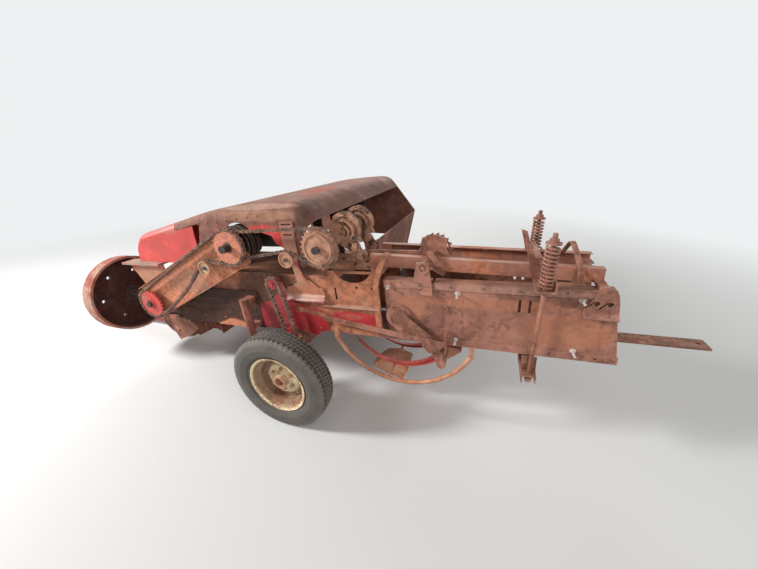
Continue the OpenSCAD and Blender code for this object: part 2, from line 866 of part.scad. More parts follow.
module top_rails() {
  color("sienna") {
    both_sides()
      difference() {
        union() {
          // upright web
          across(rail_y[1] - 5, rail_y[1])
            polygon([[rail_front, rail_top(rail_front) - rail_h],
              [rail_rear, rail_top(rail_rear) - rail_h],
              [rail_rear, rail_top(rail_rear)], [rail_front, rail_top(rail_front)]]);
          // top and bottom flanges
          for (h = [0, rail_h - 5])
            across(rail_y[0], rail_y[1] - 1)
              polygon([[rail_front, rail_top(rail_front) - h - 5],
                [rail_rear, rail_top(rail_rear) - h - 5],
                [rail_rear, rail_top(rail_rear) - h], [rail_front, rail_top(rail_front) - h]]);
        }
        bar_y(trip_c[0], trip_c[1], 12.5, 90, 150);
        bar_y(-948, 762, 10, 90, 150);
      }
    // feet on the casing and a tie on the chamber's edge angles
    both_sides()
      translate([rail_front - 60, rail_y[0], roof_z + plate + seat])
        cube([60, rail_y[1] - rail_y[0], rail_top(rail_front - 60) - roof_z - plate - seat]);
    translate([rail_rear, -half_out, roof_z + seat])
      cube([40, 2 * half_out, 20]);
  }
}

// Height of the spring seats, on the chamber's edge angles
seat_z = roof_z + seat;
seat_t = 8;
spring_h = 223;
spring_r = 27;
wire_r = 6;
rod_x = -1509;
rod_y = 272;
rod_r = 11;
// The rods lean back by this angle
rod_lean = 2.8;

// Puts the six-sided wire's lowest edge on its seat although the coil leans
spring_lift = seat_t + wire_r * cos(30) - (spring_r - wire_r / 2) * sin(rod_lean) + seat;

// Where a rod stands, leaning back
module on_rods() {
  for (s = [-1, 1])
    translate([rod_x, s * rod_y, seat_z])
      rotate([0, -rod_lean, 0])
        children();
}

module tension_frame() {
  color("peru")
    difference() {
      union() {
        // leaning uprights against the rails
        both_sides()
          across(rail_y[1] + seat, rail_y[1] + 8)
            polygon([[-1418, roof_z + 204], [-1451, roof_z + 192], [-1512, roof_z - 18],
              [-1472, roof_z - 18]]);
        // seats beside the rails
        both_sides()
          translate([-1550, rail_y[1] + seat, seat_z])
            cube([82, 165, seat_t]);
        // upturned strap behind each spring
        both_sides()
          translate([-1556, rod_y - 34, seat_z])
            cube([7, 68, 52]);
        both_sides()
          translate([-1550, rail_y[1] + seat, seat_z - 60])
            cube([60, 8, 64]);
        // cross bar over the rails
        translate([-1500, -rail_y[1] - 8, rail_top(-1476) + 6])
          cube([28, 2 * rail_y[1] + 16, 34]);
        translate([-1700, 160, seat_z])
          cube([170, 26, 6]);
        // arched strap over the chamber
        translate([-1625, 0, roof_z + seat])
          rotate([0, 0, 17])
            along(-13, 13)
              polygon(sheet(eased([[-135, 93], [-40, 95], [50, 196], [104, 150], [154, 90],
                [187, 4]], 24), -7));
      }
      on_rods()
        translate([0, 0, -100])
          cylinder(r = rod_r + seat, h = 200);
    }
}

module tension_rods() {
  color("saddlebrown") {
    on_rods() {
      translate([0, 0, 105 - seat_z])
        cylinder(r = rod_r, h = seat_z - 105 + 285);
      translate([0, 0, seat_t + spring_h + 4])
        cylinder(r = 34, h = 8);
      translate([0, 0, seat_t + spring_h + 11])
        cylinder(r = 20, h = 18, $fn = 24);
    }
    // channel under the chamber, open below, with an end plate behind each rod
    translate([-1520, -305, 142])
      cube([74, 610, 7]);
    for (x = [-1520, -1452])
      translate([x, -305, 100])
        cube([6, 610, 45]);
    both_sides()
      translate([-1520, half_out + 6, 126])
        cube([74, 7, 112]);
    both_sides()
      translate([-1500, rod_y - 20, 100])
        cube([32, 40, 18]);
  }
}

// A round bar swept along a helix
module coil(r, wire, turns, h, steps = 12, sides = 6) {
  n = turns * steps;
  function ring(i) =
    let (a = i * 360 / steps, c = [r * cos(a), r * sin(a), h * i / n])
    [for (k = [0:sides - 1])
      let (b = k * 360 / sides)
      c + wire * [cos(a) * cos(b), sin(a) * cos(b), sin(b)]];
  points = [for (i = [0:n]) each ring(i)];
  skin = [for (i = [0:n - 1], k = [0:sides - 1])
    [i * sides + k, i * sides + (k + 1) % sides,
      (i + 1) * sides + (k + 1) % sides, (i + 1) * sides + k]];
  caps = [[for (k = [sides - 1:-1:0]) k], [for (k = [0:sides - 1]) n * sides + k]];
  polyhedron(points, concat(skin, caps), convexity = 8);
}

module tension_springs() {
  color("saddlebrown")
    on_rods()
      translate([0, 0, spring_lift])
        coil(spring_r, wire_r, 11, spring_h - 2 * wire_r);
}

module bale_hinge_plate() {
  color("saddlebrown") {
    across(skin_y, skin_y + 8)
      difference() {
        polygon(eased([[-1690, 524], [-1692, 548], [-1748, 640], [-1790, 656], [-1818, 632],
          [-1828, 580], [-1836, 512], [-1690, 520]], 14, 3));
        for (x = [-1738, -1793]) {
          translate([x, 576]) circle(13);
          polygon([[x + 4, 586], [x + 40, 545], [x + 48, 551], [x + 13, 590]]);
        }
      }
    // bent lip
    along(-1834, -1692)
      polygon([[skin_y, 521], [skin_y + 8, 524], [skin_y + 30, 505], [skin_y + 26, 499]]);
  }
}

module hitch_bar() {
  color("saddlebrown")
    difference() {
      translate([-bar_end, -85, floor_z - plate - seat - 12])
        cube([bar_end - 1700, 90, 12]);
      translate([-bar_end + 40, -40, 200])
        cylinder(r = 13, h = 60);
    }
}

/* Needles */

module needles() {
  color("firebrick") {
    // curved arms: an I section, thin at the tip and deep at the yoke
    for (s = [-1, 1]) {
      across(s * 110 - 5, s * 110 + 5)
        polygon(concat(arc([-722, 342], 394, 228, 330, 16),
          arc([-700, 330], 366, 331, 226, 16)));
      across(s * 110 - 13, s * 110 + 13)
        ring_2d([-700, 330], 362, 368, 228, 324, 16);
      across(s * 110 - 13, s * 110 + 13)
        ring_2d([-722, 342], 389, 395, 232, 306, 16);
    }
    bar_y(-1010, 110, 28, -130, 130);
    // teardrop yoke plates beside the arms
    for (s = [-1, 1])
      across(s * 110 - 20, s * 110 + 20)
        polygon(eased([[-975, 20], [-935, 70], [-943, 118], [-993, 156], [-1060, 150],
          [-1120, 138], [-1110, 120], [-1054, 75], [-1000, 30], [-975, 20]], 12, 2));
  }
}

// The guard tube: middle and radius of its bend, and its sideways place
guard_c = [-758, 408];
guard_r = 474;
guard_y = 262;
guard_ends = [206.5, 338];

module needle_guard() {
  color("salmon") {
    translate([guard_c[0], guard_y, guard_c[1]])
      rotate([90, 0, 0])
        rotate([0, 0, guard_ends[0]])
          rotate_extrude(angle = guard_ends[1] - guard_ends[0])
            translate([guard_r, 0])
              circle(14);
    // feet on the edge angles
    for (a = guard_ends)
      translate([guard_c[0] + guard_r * cos(a) - 14, skin_y, guard_c[1] + guard_r * sin(a) - 12])
        cube([28, guard_y - skin_y, 60]);
    // skid plate under the needles, on a cross bar
    bar_y(-655, -66, 9, -130, guard_y);
    across(-60, 60)
      polygon([[-556, -60], [-650, -44], [-748, -78], [-728, -160], [-692, -232],
        [-560, -190], [-464, -140]]);
  }
}

module needle_linkage() {
  color("saddlebrown") {
    // hub bolted to the chamber's side
    bar_y(-758, 404, 80, wall_y + seat, skin_y + 8);
    difference() {
      bar_y(-758, 404, 58, skin_y + 7, skin_y + 20);
      bar_y(-758, 404, 46, skin_y + 14, skin_y + 21);
    }
    bar_y(-748, 424, 30, skin_y + 7, skin_y + 30);
    // tapered lever
    across(skin_y + 20, skin_y + 29)
      polygon(eased([[-716, 452], [-745, 472], [-792, 440], [-925, 330], [-960, 296],
        [-952, 268], [-920, 258], [-825, 274], [-738, 330]], 12, 3));
    // long link from the drive
    across(skin_y + 30, skin_y + 40)
      link_2d([-275, 362], [-946, 272], 17, 17);
    bar_y(-262, 360, 14, skin_y + 6 + seat, skin_y + 40);
    across(skin_y + 40, skin_y + 46)
      polygon([[-893, 300], [-1037, 285], [-1037, 262], [-960, 205], [-941, 197],
        [-905, 240]]);
    bar_y(-946, 272, 12, skin_y + 20, skin_y + 54);
    // link down to the yoke
    across(skin_y + 20, skin_y + 29)
      link_2d([-946, 262], [-1010, 110], 20, 26);
    bar_y(-1010, 110, 26, 130.3, skin_y + 29);
    // two-hole bracket on the edge angle
    difference() {
      translate([-1040, skin_y, 205])
        cube([7, 43, 146]);
      for (z = [240, 320])
        bar_x(skin_y + 20, z, 7, -1050, -1020);
    }
    translate([-1040, skin_y, 250])
      cube([40, 6, 70]);
  }
}

/* Hood and feeder */

// Outer line of the hood's top from its front seam to the rear, and of the cover's front
hood_path = eased([[884, 995], [547, 1066], [300, 1096], [0, 1104], [-190, 1104],
  [-275, 990]], 90);
cover_path = eased([[1425, 690], [1408, 800], [1316, 905], [890, 994]], 60);
hood_y = skin_y + sheet_t;
// Lower front corner of the right end, above the tines of the lifted reel
end_foot = reel_z + tine_r + 100;

module hood() {
  color("brown") {
    rolled_sheet(hood_path, -hood_right - 1, hood_y);
    // left side, cut away round the clutch
    difference() {
      across(hood_y - sheet_t + 0.5, hood_y - 0.5)
        polygon(concat([for (p = inset(hood_path, roll_r + 3)) if (p[0] < 700) p],
          [[-228, 960], [-200, 900], [-195, 720], [-147, 698], [-96, 737], [-60, 800],
            [26, 857], [45, 902], [117, 925], [430, 925], [430, 820], [700, 800]]));
      bar_y(big_c[0], big_c[1], 135, 0, 400);
    }
    // right end
    across(-hood_right - sheet_t, -hood_right)
      polygon(concat([[884, end_foot]], inset(hood_path, -0.5), [[-458, 733], [-330, 456]]));
  }
}

module front_cover() {
  face = inset(cover_path, roll_r + 3);
  color("red") {
    rolled_sheet(cover_path, -half_out - 1, hood_y);
    across(hood_y - sheet_t + 0.5, hood_y - 0.5)
      polygon(concat(face, [[870, 940], [703, 972], [726, 700], [1373, 690]]));
    across(-half_out - sheet_t, -half_out)
      polygon(concat(inset(cover_path, -0.5), [[880, 690]]));
    // base flange and the gusset that carries it
    translate([1140, skin_y - 60, 676])
      cube([422, 106, 16]);
    across(skin_y + 1.2, skin_y + 6.2)
      polygon([[1140, 678], [1540, 678], [1453, 527], [1420, 475], [1130, 475]]);
  }
}

deck_rear = -330;
deck_front = 530;

module feeder_deck() {
  left = -skin_y - 6 - seat;
  color("brown") {
    translate([deck_rear, -hood_right + seat, deck_z])
      cube([deck_front - deck_rear, hood_right + left - seat, 4]);
    across(-hood_right + seat, left)
      polygon([[deck_rear, deck_z + 1], [-458, 733], [-454, 734], [deck_rear + 5, deck_z + 1]]);
    translate([deck_rear, -hood_right + seat, 202])
      cube([60, hood_right + left - seat, 61]);
    // ears and pins that carry the pickup
    for (e = [[-hood_right + seat, plate_y[0] - 8, -1], [left - 8, plate_y[1] - 4, 1]]) {
      across(e[0], e[0] + 8)
        polygon([[420, deck_z], [deck_front, deck_z], [lift_x + 25, lift_z], [lift_x, lift_z + 22],
          [lift_x - 25, lift_z]]);
      bar_y(lift_x, lift_z, 12, min(e[0], e[1]), max(e[0], e[1]) + 8);
    }
  }
}

// Sideways places of the packer tines
packer_y = [for (k = [0:3]) -hood_right + 200 + k * (hood_right - 600) / 3];

module packer_tines() {
  color("dimgray") {
    for (y = packer_y)
      across(y - 8, y + 8)
        polygon([[150, 910], [60, 910], [40, 420], [60, 400], [80, 420]]);
    translate([60, -hood_right + seat, 900])
      cube([90, hood_right - skin_y - 80, 40]);
  }
}

// Run of a stripper band: below the reel, round its front, and back to the deck
lift_c = [lift_x, lift_z];
reel_c = [reel_x, reel_z];
band_low = reel_c + band_r * [cos(-60), sin(-60)] + 175 * [sin(-60), -cos(-60)];
band_top = reel_c + band_r * [cos(100), sin(100)] + 190 * [-sin(100), cos(100)];
band_path = concat([band_low], arc(reel_c, band_r, -60, 100, 12), [band_top]);
band_y = -hood_right + 20;
plate_y = [-hood_right - 60, band_y + tine_count * tine_gap - band_w + 4];

module pickup_frame() {
  color("firebrick") {
    for (y = plate_y)
      across(y, y + 6)
        difference() {
          polygon(concat([lift_c + [-22, 0], lift_c + [0, -24], band_low + [-30, -12],
            band_low + [20, -12]], arc(reel_c, band_r + 24, -50, 95, 12),
            [band_top + [-10, 14], lift_c + [0, 24]]));
          translate(reel_c) circle(24 + seat);
          translate(lift_c) circle(12 + seat);
        }
    // bands in the gaps between the tines, on two ties
    for (k = [0:tine_count - 2])
      across(band_y + k * tine_gap, band_y + k * tine_gap + band_w)
        polygon(sheet(band_path, -4));
    for (p = [band_low, band_top])
      across(plate_y[0] + 6, plate_y[1])
        translate(p)
          square([26, 14], center = true);
    // arm and axle of the gauge wheel
    bar_y(gauge_x, gauge_z, 12, -hood_right - 170, -hood_right - 66);
    across(-hood_right - 78, -hood_right - 60)
      link_2d([gauge_x, gauge_z], [gauge_x + 20, reel_z - 80], 22, 22);
  }
}

module pickup_reel() {
  color("dimgray") {
    bar_y(reel_x, reel_z, 24, plate_y[0] + 1, plate_y[1] + 5);
    for (y = [plate_y[0] + 12, plate_y[1] - 11])
      bar_y(reel_x, reel_z, 195, y, y + 5);
    for (i = [0:tine_bars - 1])
      translate([reel_x, 0, reel_z])
        rotate([0, i * 360 / tine_bars, 0])
          translate([0, 0, 170]) {
            bar_y(0, 0, 14, plate_y[0] + 17, plate_y[1] - 11);
            for (k = [0:tine_count - 1])
              translate([0, band_y - (tine_gap - band_w) / 2 + k * tine_gap, 0])
                cylinder(r = 4, h = tine_r - 170);
          }
  }
}

module gauge_wheel() {
  color("dimgray")
    difference() {
      bar_y(gauge_x, gauge_z, gauge_r, -hood_right - 160, -hood_right - 85);
      bar_y(gauge_x, gauge_z, 12 + seat, -hood_right - 300, -hood_right);
    }
}

/* Running gear */

// Height of the axle beam's underside
beam_z = 85;

module axle_beam() {
  color("firebrick") {
    translate([-40, -1640, beam_z])
      cube([80, 1640 + 339.7, 80]);
    translate([-40, -1640, -40])
      cube([80, 20, beam_z + 120]);
    for (y = [-half_out, half_out - 60])
      translate([-40, y, beam_z + 79])
        cube([80, 60, keel_z - beam_z - 79 - seat]);
    bar_y(0, 0, spindle_r, -right_y - 20, -1620);
  }
}

module left_leg() {
  color("firebrick") {
    translate([335, 330, -20])
      cylinder(r = 28, h = 496);
    across(340, 372)
      link_2d([0, 0], [335, 0], 45, 45);
    across(340, 372)
      link_2d([0, 0], [0, 160], 45, 45);
    bar_y(0, 0, spindle_r, 371, left_y + 20);
    for (z = [240, 440])
      translate([305, skin_y + 10 + seat, z])
        cube([60, 62, 30]);
  }
}

// Half of the tyre's section, from the bead out to the tread: [radius, half width]
tyre_section = [[rim_r - 15, rim_w / 2 - 10], [rim_r + 3, rim_w / 2 - 6],
  [rim_r + 22, tyre_w / 2 - 8], [rim_r + 62, tyre_w / 2], [tyre_r - 42, tyre_w / 2 - 6],
  [tyre_r - 14, tyre_w / 2 - 18], [tyre_r - 4, tyre_w / 2 - 34], [tyre_r, 0]];

module tyre() {
  last = len(tyre_section) - 1;
  rotate([-90, 0, 0])
    rotate_extrude()
      polygon(concat(tyre_section,
        [for (i = [last - 1:-1:0]) [tyre_section[i][0], -tyre_section[i][1]]]));
}

// Half of the rim's barrel, from the well out to the lip: [radius, half width]
rim_section = [[rim_r - 46, 18], [rim_r - 20, 36], [rim_r - 16, rim_w / 2 - 7],
  [rim_r, rim_w / 2]];

module rim() {
  last = len(rim_section) - 1;
  barrel = concat([for (i = [last:-1:0]) [rim_section[i][0], -rim_section[i][1]]],
    rim_section);
  floor_h = rim_w / 2 - dish;
  rotate([-90, 0, 0])
    difference() {
      union() {
        rotate_extrude()
          polygon(sheet(barrel, 4));
        // dished disc with its raised hub cap
        rotate_extrude()
          polygon([[spindle_r + 0.5, floor_h - 50], [48, floor_h - 50], [50, floor_h],
            [108, floor_h], [126, floor_h - 16], [rim_r - 48, floor_h - 16],
            [rim_r - 45, floor_h - 9], [128, floor_h - 9], [110, floor_h + 7],
            [52, floor_h + 7], [46, floor_h + 14], [46, floor_h + 52],
            [31, floor_h + 52], [29, floor_h + 6], [spindle_r + 0.5, floor_h + 6]]);
      }
      for (a = [0:60:359])
        rotate(a)
          translate([rim_r - 68, 0, floor_h - 30])
            cylinder(r = 9, h = 60);
    }
}

module left_tyre() {
  color("dimgray") translate([0, left_y, 0]) tyre();
}

module left_rim() {
  color("ivory") translate([0, left_y, 0]) rim();
}

module right_tyre() {
  color("dimgray") translate([0, -right_y, 0]) tyre();
}

module right_rim() {
  color("ivory") translate([0, -right_y, 0]) mirror([0, 1, 0]) rim();
}

module tongue() {
  color("firebrick")
    difference() {
      union() {
        translate([tongue_pivot_x - 30, tongue_y - tongue_w / 2, tongue_z - tongue_w / 2])
          cube([hitch_x - 100 - tongue_pivot_x, tongue_w, tongue_w]);
        for (z = [tongue_z + tongue_w / 2, tongue_z - tongue_w / 2 - 14])
          translate([hitch_x - 220, tongue_y - 40, z])
            cube([290, 80, 14]);
      }
      translate([hitch_x, tongue_y, tongue_z - 100])
        cylinder(r = hitch_bore_r, h = 200);
      translate([tongue_pivot_x, tongue_y, tongue_z - 100])
        cylinder(r = 15 + seat, h = 200);
    }
}

parked() chamber_side_left();
parked() chamber_side_right();
parked() chamber_floor();
parked() plunger_casing();
parked() plunger();
parked() front_frame();
parked() hanger();
parked() gearbox();
parked() flywheel();
parked() drive_tray();
parked() small_sprocket();
parked() big_sprocket();
parked() main_chain();
parked() slip_clutch();
parked() clutch_chain();
parked() cross_shaft();
parked() side_plates();
parked() down_chain();
parked() knotter_left();
parked() knotter_right();
parked() star_wheel();
parked() trip_linkage();
parked() top_rails();
parked() tension_frame();
parked() tension_rods();
parked() tension_springs();
parked() bale_hinge_plate();
parked() hitch_bar();
parked() needles();
parked() needle_guard();
parked() needle_linkage();
parked() hood();
parked() front_cover();
parked() feeder_deck();
parked() packer_tines();
parked() pickup_frame();
parked() pickup_reel();
parked() gauge_wheel();
parked() axle_beam();
parked() left_leg();
parked() left_tyre();
parked() left_rim();
parked() right_tyre();
parked() right_rim();
parked() tongue();
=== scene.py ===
"""Dresses an old square baler: finishes, tyres, chains, springs, bolts, stage and camera."""

import json
import math

import bmesh
import bpy
from mathutils import Matrix, Vector


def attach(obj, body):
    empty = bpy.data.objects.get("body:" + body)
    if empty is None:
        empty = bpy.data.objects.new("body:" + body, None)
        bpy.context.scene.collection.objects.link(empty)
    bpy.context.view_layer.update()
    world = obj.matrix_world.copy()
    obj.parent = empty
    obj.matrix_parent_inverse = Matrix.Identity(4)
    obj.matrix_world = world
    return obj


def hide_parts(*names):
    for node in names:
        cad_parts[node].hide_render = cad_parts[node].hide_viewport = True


bl_info = {
    "name": "Square Baler",
    "version": (1, 0, 0),
    "blender": (4, 5, 0),
    "location": "View3D > Sidebar > Baler",
    "description": "Finishes and small pieces of an old towed square baler",
    "category": "Object",
}

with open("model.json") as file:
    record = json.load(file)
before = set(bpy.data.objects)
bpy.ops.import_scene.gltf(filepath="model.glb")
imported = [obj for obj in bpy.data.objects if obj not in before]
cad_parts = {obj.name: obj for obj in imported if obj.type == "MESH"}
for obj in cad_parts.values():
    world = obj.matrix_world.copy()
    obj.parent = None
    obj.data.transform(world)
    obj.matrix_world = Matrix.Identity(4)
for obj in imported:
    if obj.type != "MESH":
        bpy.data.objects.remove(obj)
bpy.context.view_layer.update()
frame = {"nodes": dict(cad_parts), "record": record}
JOINTS = {joint["name"]: joint for joint in frame["record"]["behaviour"]["joints"]}

# The machine's own axes, tipped nose down about the road wheels' axle
LEFT = Vector((0, 1, 0))
FORWARD = Vector(JOINTS["flywheel_spin"]["axis"]).normalized()
UP = FORWARD.cross(LEFT)
TILT = math.atan2(-FORWARD.z, FORWARD.x)
LEFT_WHEEL = Vector(JOINTS["left_wheel_spin"]["pos_m"])
RIGHT_WHEEL = Vector(JOINTS["right_wheel_spin"]["pos_m"])
FLYWHEEL = Vector(JOINTS["flywheel_spin"]["pos_m"])
# The machine's own origin: on the axle, in the middle of the bale chamber, this many
# millimetres in from the left wheel's middle
LEFT_Y = 502
ORIGIN = LEFT_WHEEL - LEFT * LEFT_Y / 1000

# Faces that small pieces sit on, in the machine's own millimetres: the chamber's wall, its
# edge angles, the hood's side, and the top of the edge angles
WALL_Y = 233.5
ANGLE_Y = 239.8
HOOD_Y = 243.8
ROOF_Z = 638

# Darkest and lightest share of a colour, where it runs from one to the other
PAINT_TONES = (0.72, 1.16)
RUST_TONES = (0.62, 1.22)
SPOT_TONES = (0.8, 1.15)
WHEEL_PAINT_TONES = (0.82, 1.08)
WHEEL_RUST_TONES = (0.6, 1.2)
RING_TONES = (0.7, 1.15)
RUBBER_TONES = (0.72, 1.15)

# How far a blend's level moves between no rust and all rust
RUST_SPREAD = 0.34
# Size of the streaks that run down a panel, along the machine's axes, in metres
STREAK = (0.035, 0.035, 0.4)
# Width of the worn band along an edge, which is also a painted highlight, in metres
RUBBED_AND_HIGHLIT_EDGE = 0.006
# Level at which a spot's ragged border starts and ends, and how ragged it is
SPOT_BORDER = (0.97, 1.35)
SPOT_RAGGED = 0.5
# Depth of the relief that the light catches, in metres
PANEL_RELIEF = 0.0012
WHEEL_RELIEF = 0.001
RUBBER_RELIEF = 0.0014


def at(x, y, z):
    """A place given in the machine's own millimetres, in metres of the shared frame."""
    return ORIGIN + (FORWARD * x + LEFT * y + UP * z) / 1000


def tone(red, green, blue):
    """A colour given in display steps of 0 to 255, as linear light."""
    return tuple((v / 255 / 12.92) if v < 11 else ((v / 255 + 0.055) / 1.055) ** 2.4
                 for v in (red, green, blue))


def colour_property(name, description, default):
    return bpy.props.FloatVectorProperty(name=name, description=description, default=default,
                                         subtype="COLOR", size=3, min=0, max=1)


def length_property(name, description, default):
    return bpy.props.FloatProperty(name=name, description=description, default=default,
                                   unit="LENGTH", subtype="DISTANCE", min=0)


def factor_property(name, description, default):
    return bpy.props.FloatProperty(name=name, description=description, default=default,
                                   subtype="FACTOR", min=0, max=1)


class BalerColours(bpy.types.PropertyGroup):
    """Colours of the paint, rust, iron and rubber."""

    cover_red: colour_property("Cover Red", "Bright paint of the front cover",
                               tone(206, 66, 58))
    panel_red: colour_property("Panel Red", "Deep paint of the panels behind the drives",
                               tone(164, 42, 48))
    faded_red: colour_property("Faded Red", "Chalky paint of the hood and feeder",
                               tone(170, 100, 84))
    needle_red: colour_property("Needle Red", "Paint of the needles and their links",
                                tone(196, 58, 54))
    rust_orange: colour_property("Orange Rust", "Fresh rust on sheet metal",
                                 tone(178, 112, 82))
    rust_brown: colour_property("Brown Rust", "Old rust on the chamber", tone(126, 80, 62))
    rust_mauve: colour_property("Mauve Rust", "Rust over worn primer", tone(164, 110, 91))
    rust_dark: colour_property("Dark Rust", "Rust in hollows", tone(46, 30, 25))
    iron: colour_property("Iron", "Oily castings", tone(62, 50, 44))
    tan: colour_property("Tan", "Dusty bare sheet and castings", tone(182, 134, 106))
    pale: colour_property("Pale Edge", "Rubbed edges that catch the light",
                          tone(186, 148, 130))
    cream: colour_property("Cream", "Paint of the road wheels", tone(236, 217, 174))
    rubber: colour_property("Rubber", "Weathered tyres", tone(104, 98, 92))
    chain: colour_property("Chain", "Dry roller chain", tone(68, 50, 40))
    dust: colour_property("Dust", "Dust on faces that look up", tone(156, 128, 108))
    zinc: colour_property("Zinc", "Plated studs", tone(214, 210, 204))


class BalerSizes(bpy.types.PropertyGroup):
    """Sizes of the small pieces."""

    tread_depth: length_property("Tread Depth", "Depth of the tyres' grooves", 0.008)
    link_plate: length_property("Link Plate", "Thickness of a chain's side plate", 0.0028)
    roller_radius: length_property("Roller Radius", "Radius of a chain's roller", 0.0095)
    spring_radius: length_property("Spring Radius", "Radius of a spring's middle line", 0.027)
    wire_radius: length_property("Wire Radius", "Radius of a spring's wire", 0.006)
    washer_share: factor_property("Washer Share", "How far a washer reaches past its head",
                                  0.35)
    # Edges worn pale: wear that is also a painted highlight along each edge
    wear: factor_property("Wear", "How far edges are rubbed bright", 0.6)
    dusting: factor_property("Dusting", "How much dust lies on top faces", 0.4)


class BalerStage(bpy.types.PropertyGroup):
    """Floor and lights."""

    floor: colour_property("Floor", "Colour of the floor", (0.72, 0.72, 0.71))
    sky: colour_property("Backdrop", "Colour behind the machine", (0.86, 0.87, 0.88))
    key: bpy.props.FloatProperty(name="Key Light", description="Strength of the main light",
                                 default=630, subtype="POWER", unit="POWER")
    fill: bpy.props.FloatProperty(name="Fill", description="Strength of the light all round",
                                  default=0.27, min=0)


class Value:
    """A socket that Python's operators can work on: each adds one Math node."""

    def __init__(self, graph, socket):
        self.graph = graph
        self.socket = socket

    def maths(self, operation, a, b, clamp=False):
        settings = {"operation": operation, "use_clamp": clamp}
        return self.graph.node("ShaderNodeMath", settings, {0: a, 1: b})

    def __add__(self, other):
        return self.maths("ADD", self, other)

    def __sub__(self, other):
        return self.maths("SUBTRACT", self, other)

    def __rsub__(self, other):
        return self.maths("SUBTRACT", other, self)

    def __mul__(self, other):
        return self.maths("MULTIPLY", self, other)

    def __pow__(self, other):
        return self.maths("POWER", self, other)

    __radd__ = __add__
    __rmul__ = __mul__

    def clamped(self):
        """The value kept between 0 and 1."""
        return self.maths("ADD", self, 0.0, clamp=True)

    def larger(self, other):
        return self.maths("MAXIMUM", self, other)

    def step(self, low, high):
        """0 below low, 1 above high, smooth between them."""
        settings = {"interpolation_type": "SMOOTHSTEP"}
        inputs = {"Value": self, "From Min": low, "From Max": high}
        return self.graph.node("ShaderNodeMapRange", settings, inputs)


class Graph:
    """A node tree filled by short calls."""

    def __init__(self, tree):
        self.tree = tree

    def node(self, kind, settings, inputs, out=0):
        """Adds a node: its settings first, then the values or links of its sockets."""
        node = self.tree.nodes.new(kind)
        for key, value in settings.items():
            setattr(node, key, value)
        for key, value in inputs.items():
            if isinstance(value, Value):
                self.tree.links.new(value.socket, node.inputs[key])
            else:
                node.inputs[key].default_value = value
        return Value(self, node.outputs[out])

    def join(self, *values):
        """Several geometries as one."""
        node = self.tree.nodes.new("GeometryNodeJoinGeometry")
        for value in values:
            self.tree.links.new(value.socket, node.inputs[0])
        return Value(self, node.outputs[0])


class Shader(Graph):
    """A material's node tree on Object coordinates."""

    def __init__(self, name):
        self.material = bpy.data.materials.new(name)
        self.material.use_nodes = True
        super().__init__(self.material.node_tree)
        self.tree.nodes.clear()
        self.output = self.tree.nodes.new("ShaderNodeOutputMaterial")
        self.place = self.node("ShaderNodeTexCoord", {}, {}, "Object")

    def about(self, centre, scale=(1, 1, 1)):
        """Coordinates along the machine's axes from a centre, divided by a scale."""
        inputs = {"Vector": self.place, "Location": centre, "Rotation": (0, TILT, 0),
                  "Scale": scale}
        return self.node("ShaderNodeMapping", {"vector_type": "TEXTURE"}, inputs)

    def split(self, vector):
        """The three parts of a vector."""
        parts = self.node("ShaderNodeSeparateXYZ", {}, {"Vector": vector})
        outputs = parts.socket.node.outputs
        return [Value(self, outputs[axis]) for axis in "XYZ"]

    def turned(self, centre, axis):
        """Distance from an axis through a centre, and the place along it, in metres."""
        places = self.split(self.about(centre))
        a, b = [places[i] for i in range(3) if i != axis]
        return (a * a + b * b) ** 0.5, places[axis]

    def measure(self, operation, *vectors):
        """A number worked out from vectors, such as the length of one."""
        inputs = dict(enumerate(vectors))
        return self.node("ShaderNodeVectorMath", {"operation": operation}, inputs, "Value")

    def noise(self, scale, detail, rough, vector=None, warp=0.0):
        inputs = {
            "Vector": vector or self.place,
            "Scale": scale,
            "Detail": detail,
            "Roughness": rough,
            "Distortion": warp,
        }
        return self.node("ShaderNodeTexNoise", {}, inputs, "Fac")

    def mix(self, factor, a, b):
        """A colour between a and b."""
        inputs = {0: factor}
        inputs.update({key: value if isinstance(value, Value) else (*value, 1.0)
                       for key, value in ((6, a), (7, b))})
        return self.node("ShaderNodeMix", {"data_type": "RGBA"}, inputs, 2)

    def tones(self, factor, colour, span):
        """A colour that runs from a darker to a lighter tone of itself."""
        dark, light = span
        return self.mix(factor, shade(colour, dark), shade(colour, light))

    def spot(self, centre, size):
        """A ragged patch: 1 inside an ellipsoid about a place of the machine."""
        inside = self.about(at(*centre), [v / 1000 for v in size])
        away = self.measure("LENGTH", inside)
        return 1 - (away + self.noise(11, 5, 0.65) * SPOT_RAGGED).step(*SPOT_BORDER)

    def edges(self):
        """1 along the outer and inner edges of a piece."""
        round_normal = self.node("ShaderNodeBevel", {"samples": 4}, {"Radius": RUBBED_AND_HIGHLIT_EDGE})
        flat_normal = self.node("ShaderNodeNewGeometry", {}, {}, "Normal")
        along = self.measure("DOT_PRODUCT", round_normal, flat_normal)
        return (1 - along).step(0.01, 0.16)

    def rise(self):
        """How far the surface looks up: 1 on a level top, -1 on a level underside."""
        normal = self.node("ShaderNodeNewGeometry", {}, {}, "Normal")
        return self.split(normal)[2]

    def finish(self, colour, roughness, height=None, depth=0.0):
        """Ends the tree: height is a relief of the given depth in metres."""
        if not isinstance(colour, Value):
            colour = (*colour, 1.0)
        inputs = {"Base Color": colour, "Roughness": roughness}
        if height is not None:
            bump = {"Height": height, "Strength": 1.0, "Distance": depth}
            inputs["Normal"] = self.node("ShaderNodeBump", {}, bump)
        surface = self.node("ShaderNodeBsdfPrincipled", {}, inputs)
        self.tree.links.new(surface.socket, self.output.inputs["Surface"])
        return self.material


def shade(colour, factor):
    """A colour made darker or lighter."""
    return tuple(min(1.0, channel * factor) for channel in colour)


def rusted_part(blend, share, blur):
    """1 where a blend of noises has rusted, so that about the given share has."""
    middle = 0.5 + (0.5 - share) * RUST_SPREAD
    return blend.step(middle - blur, middle + blur)


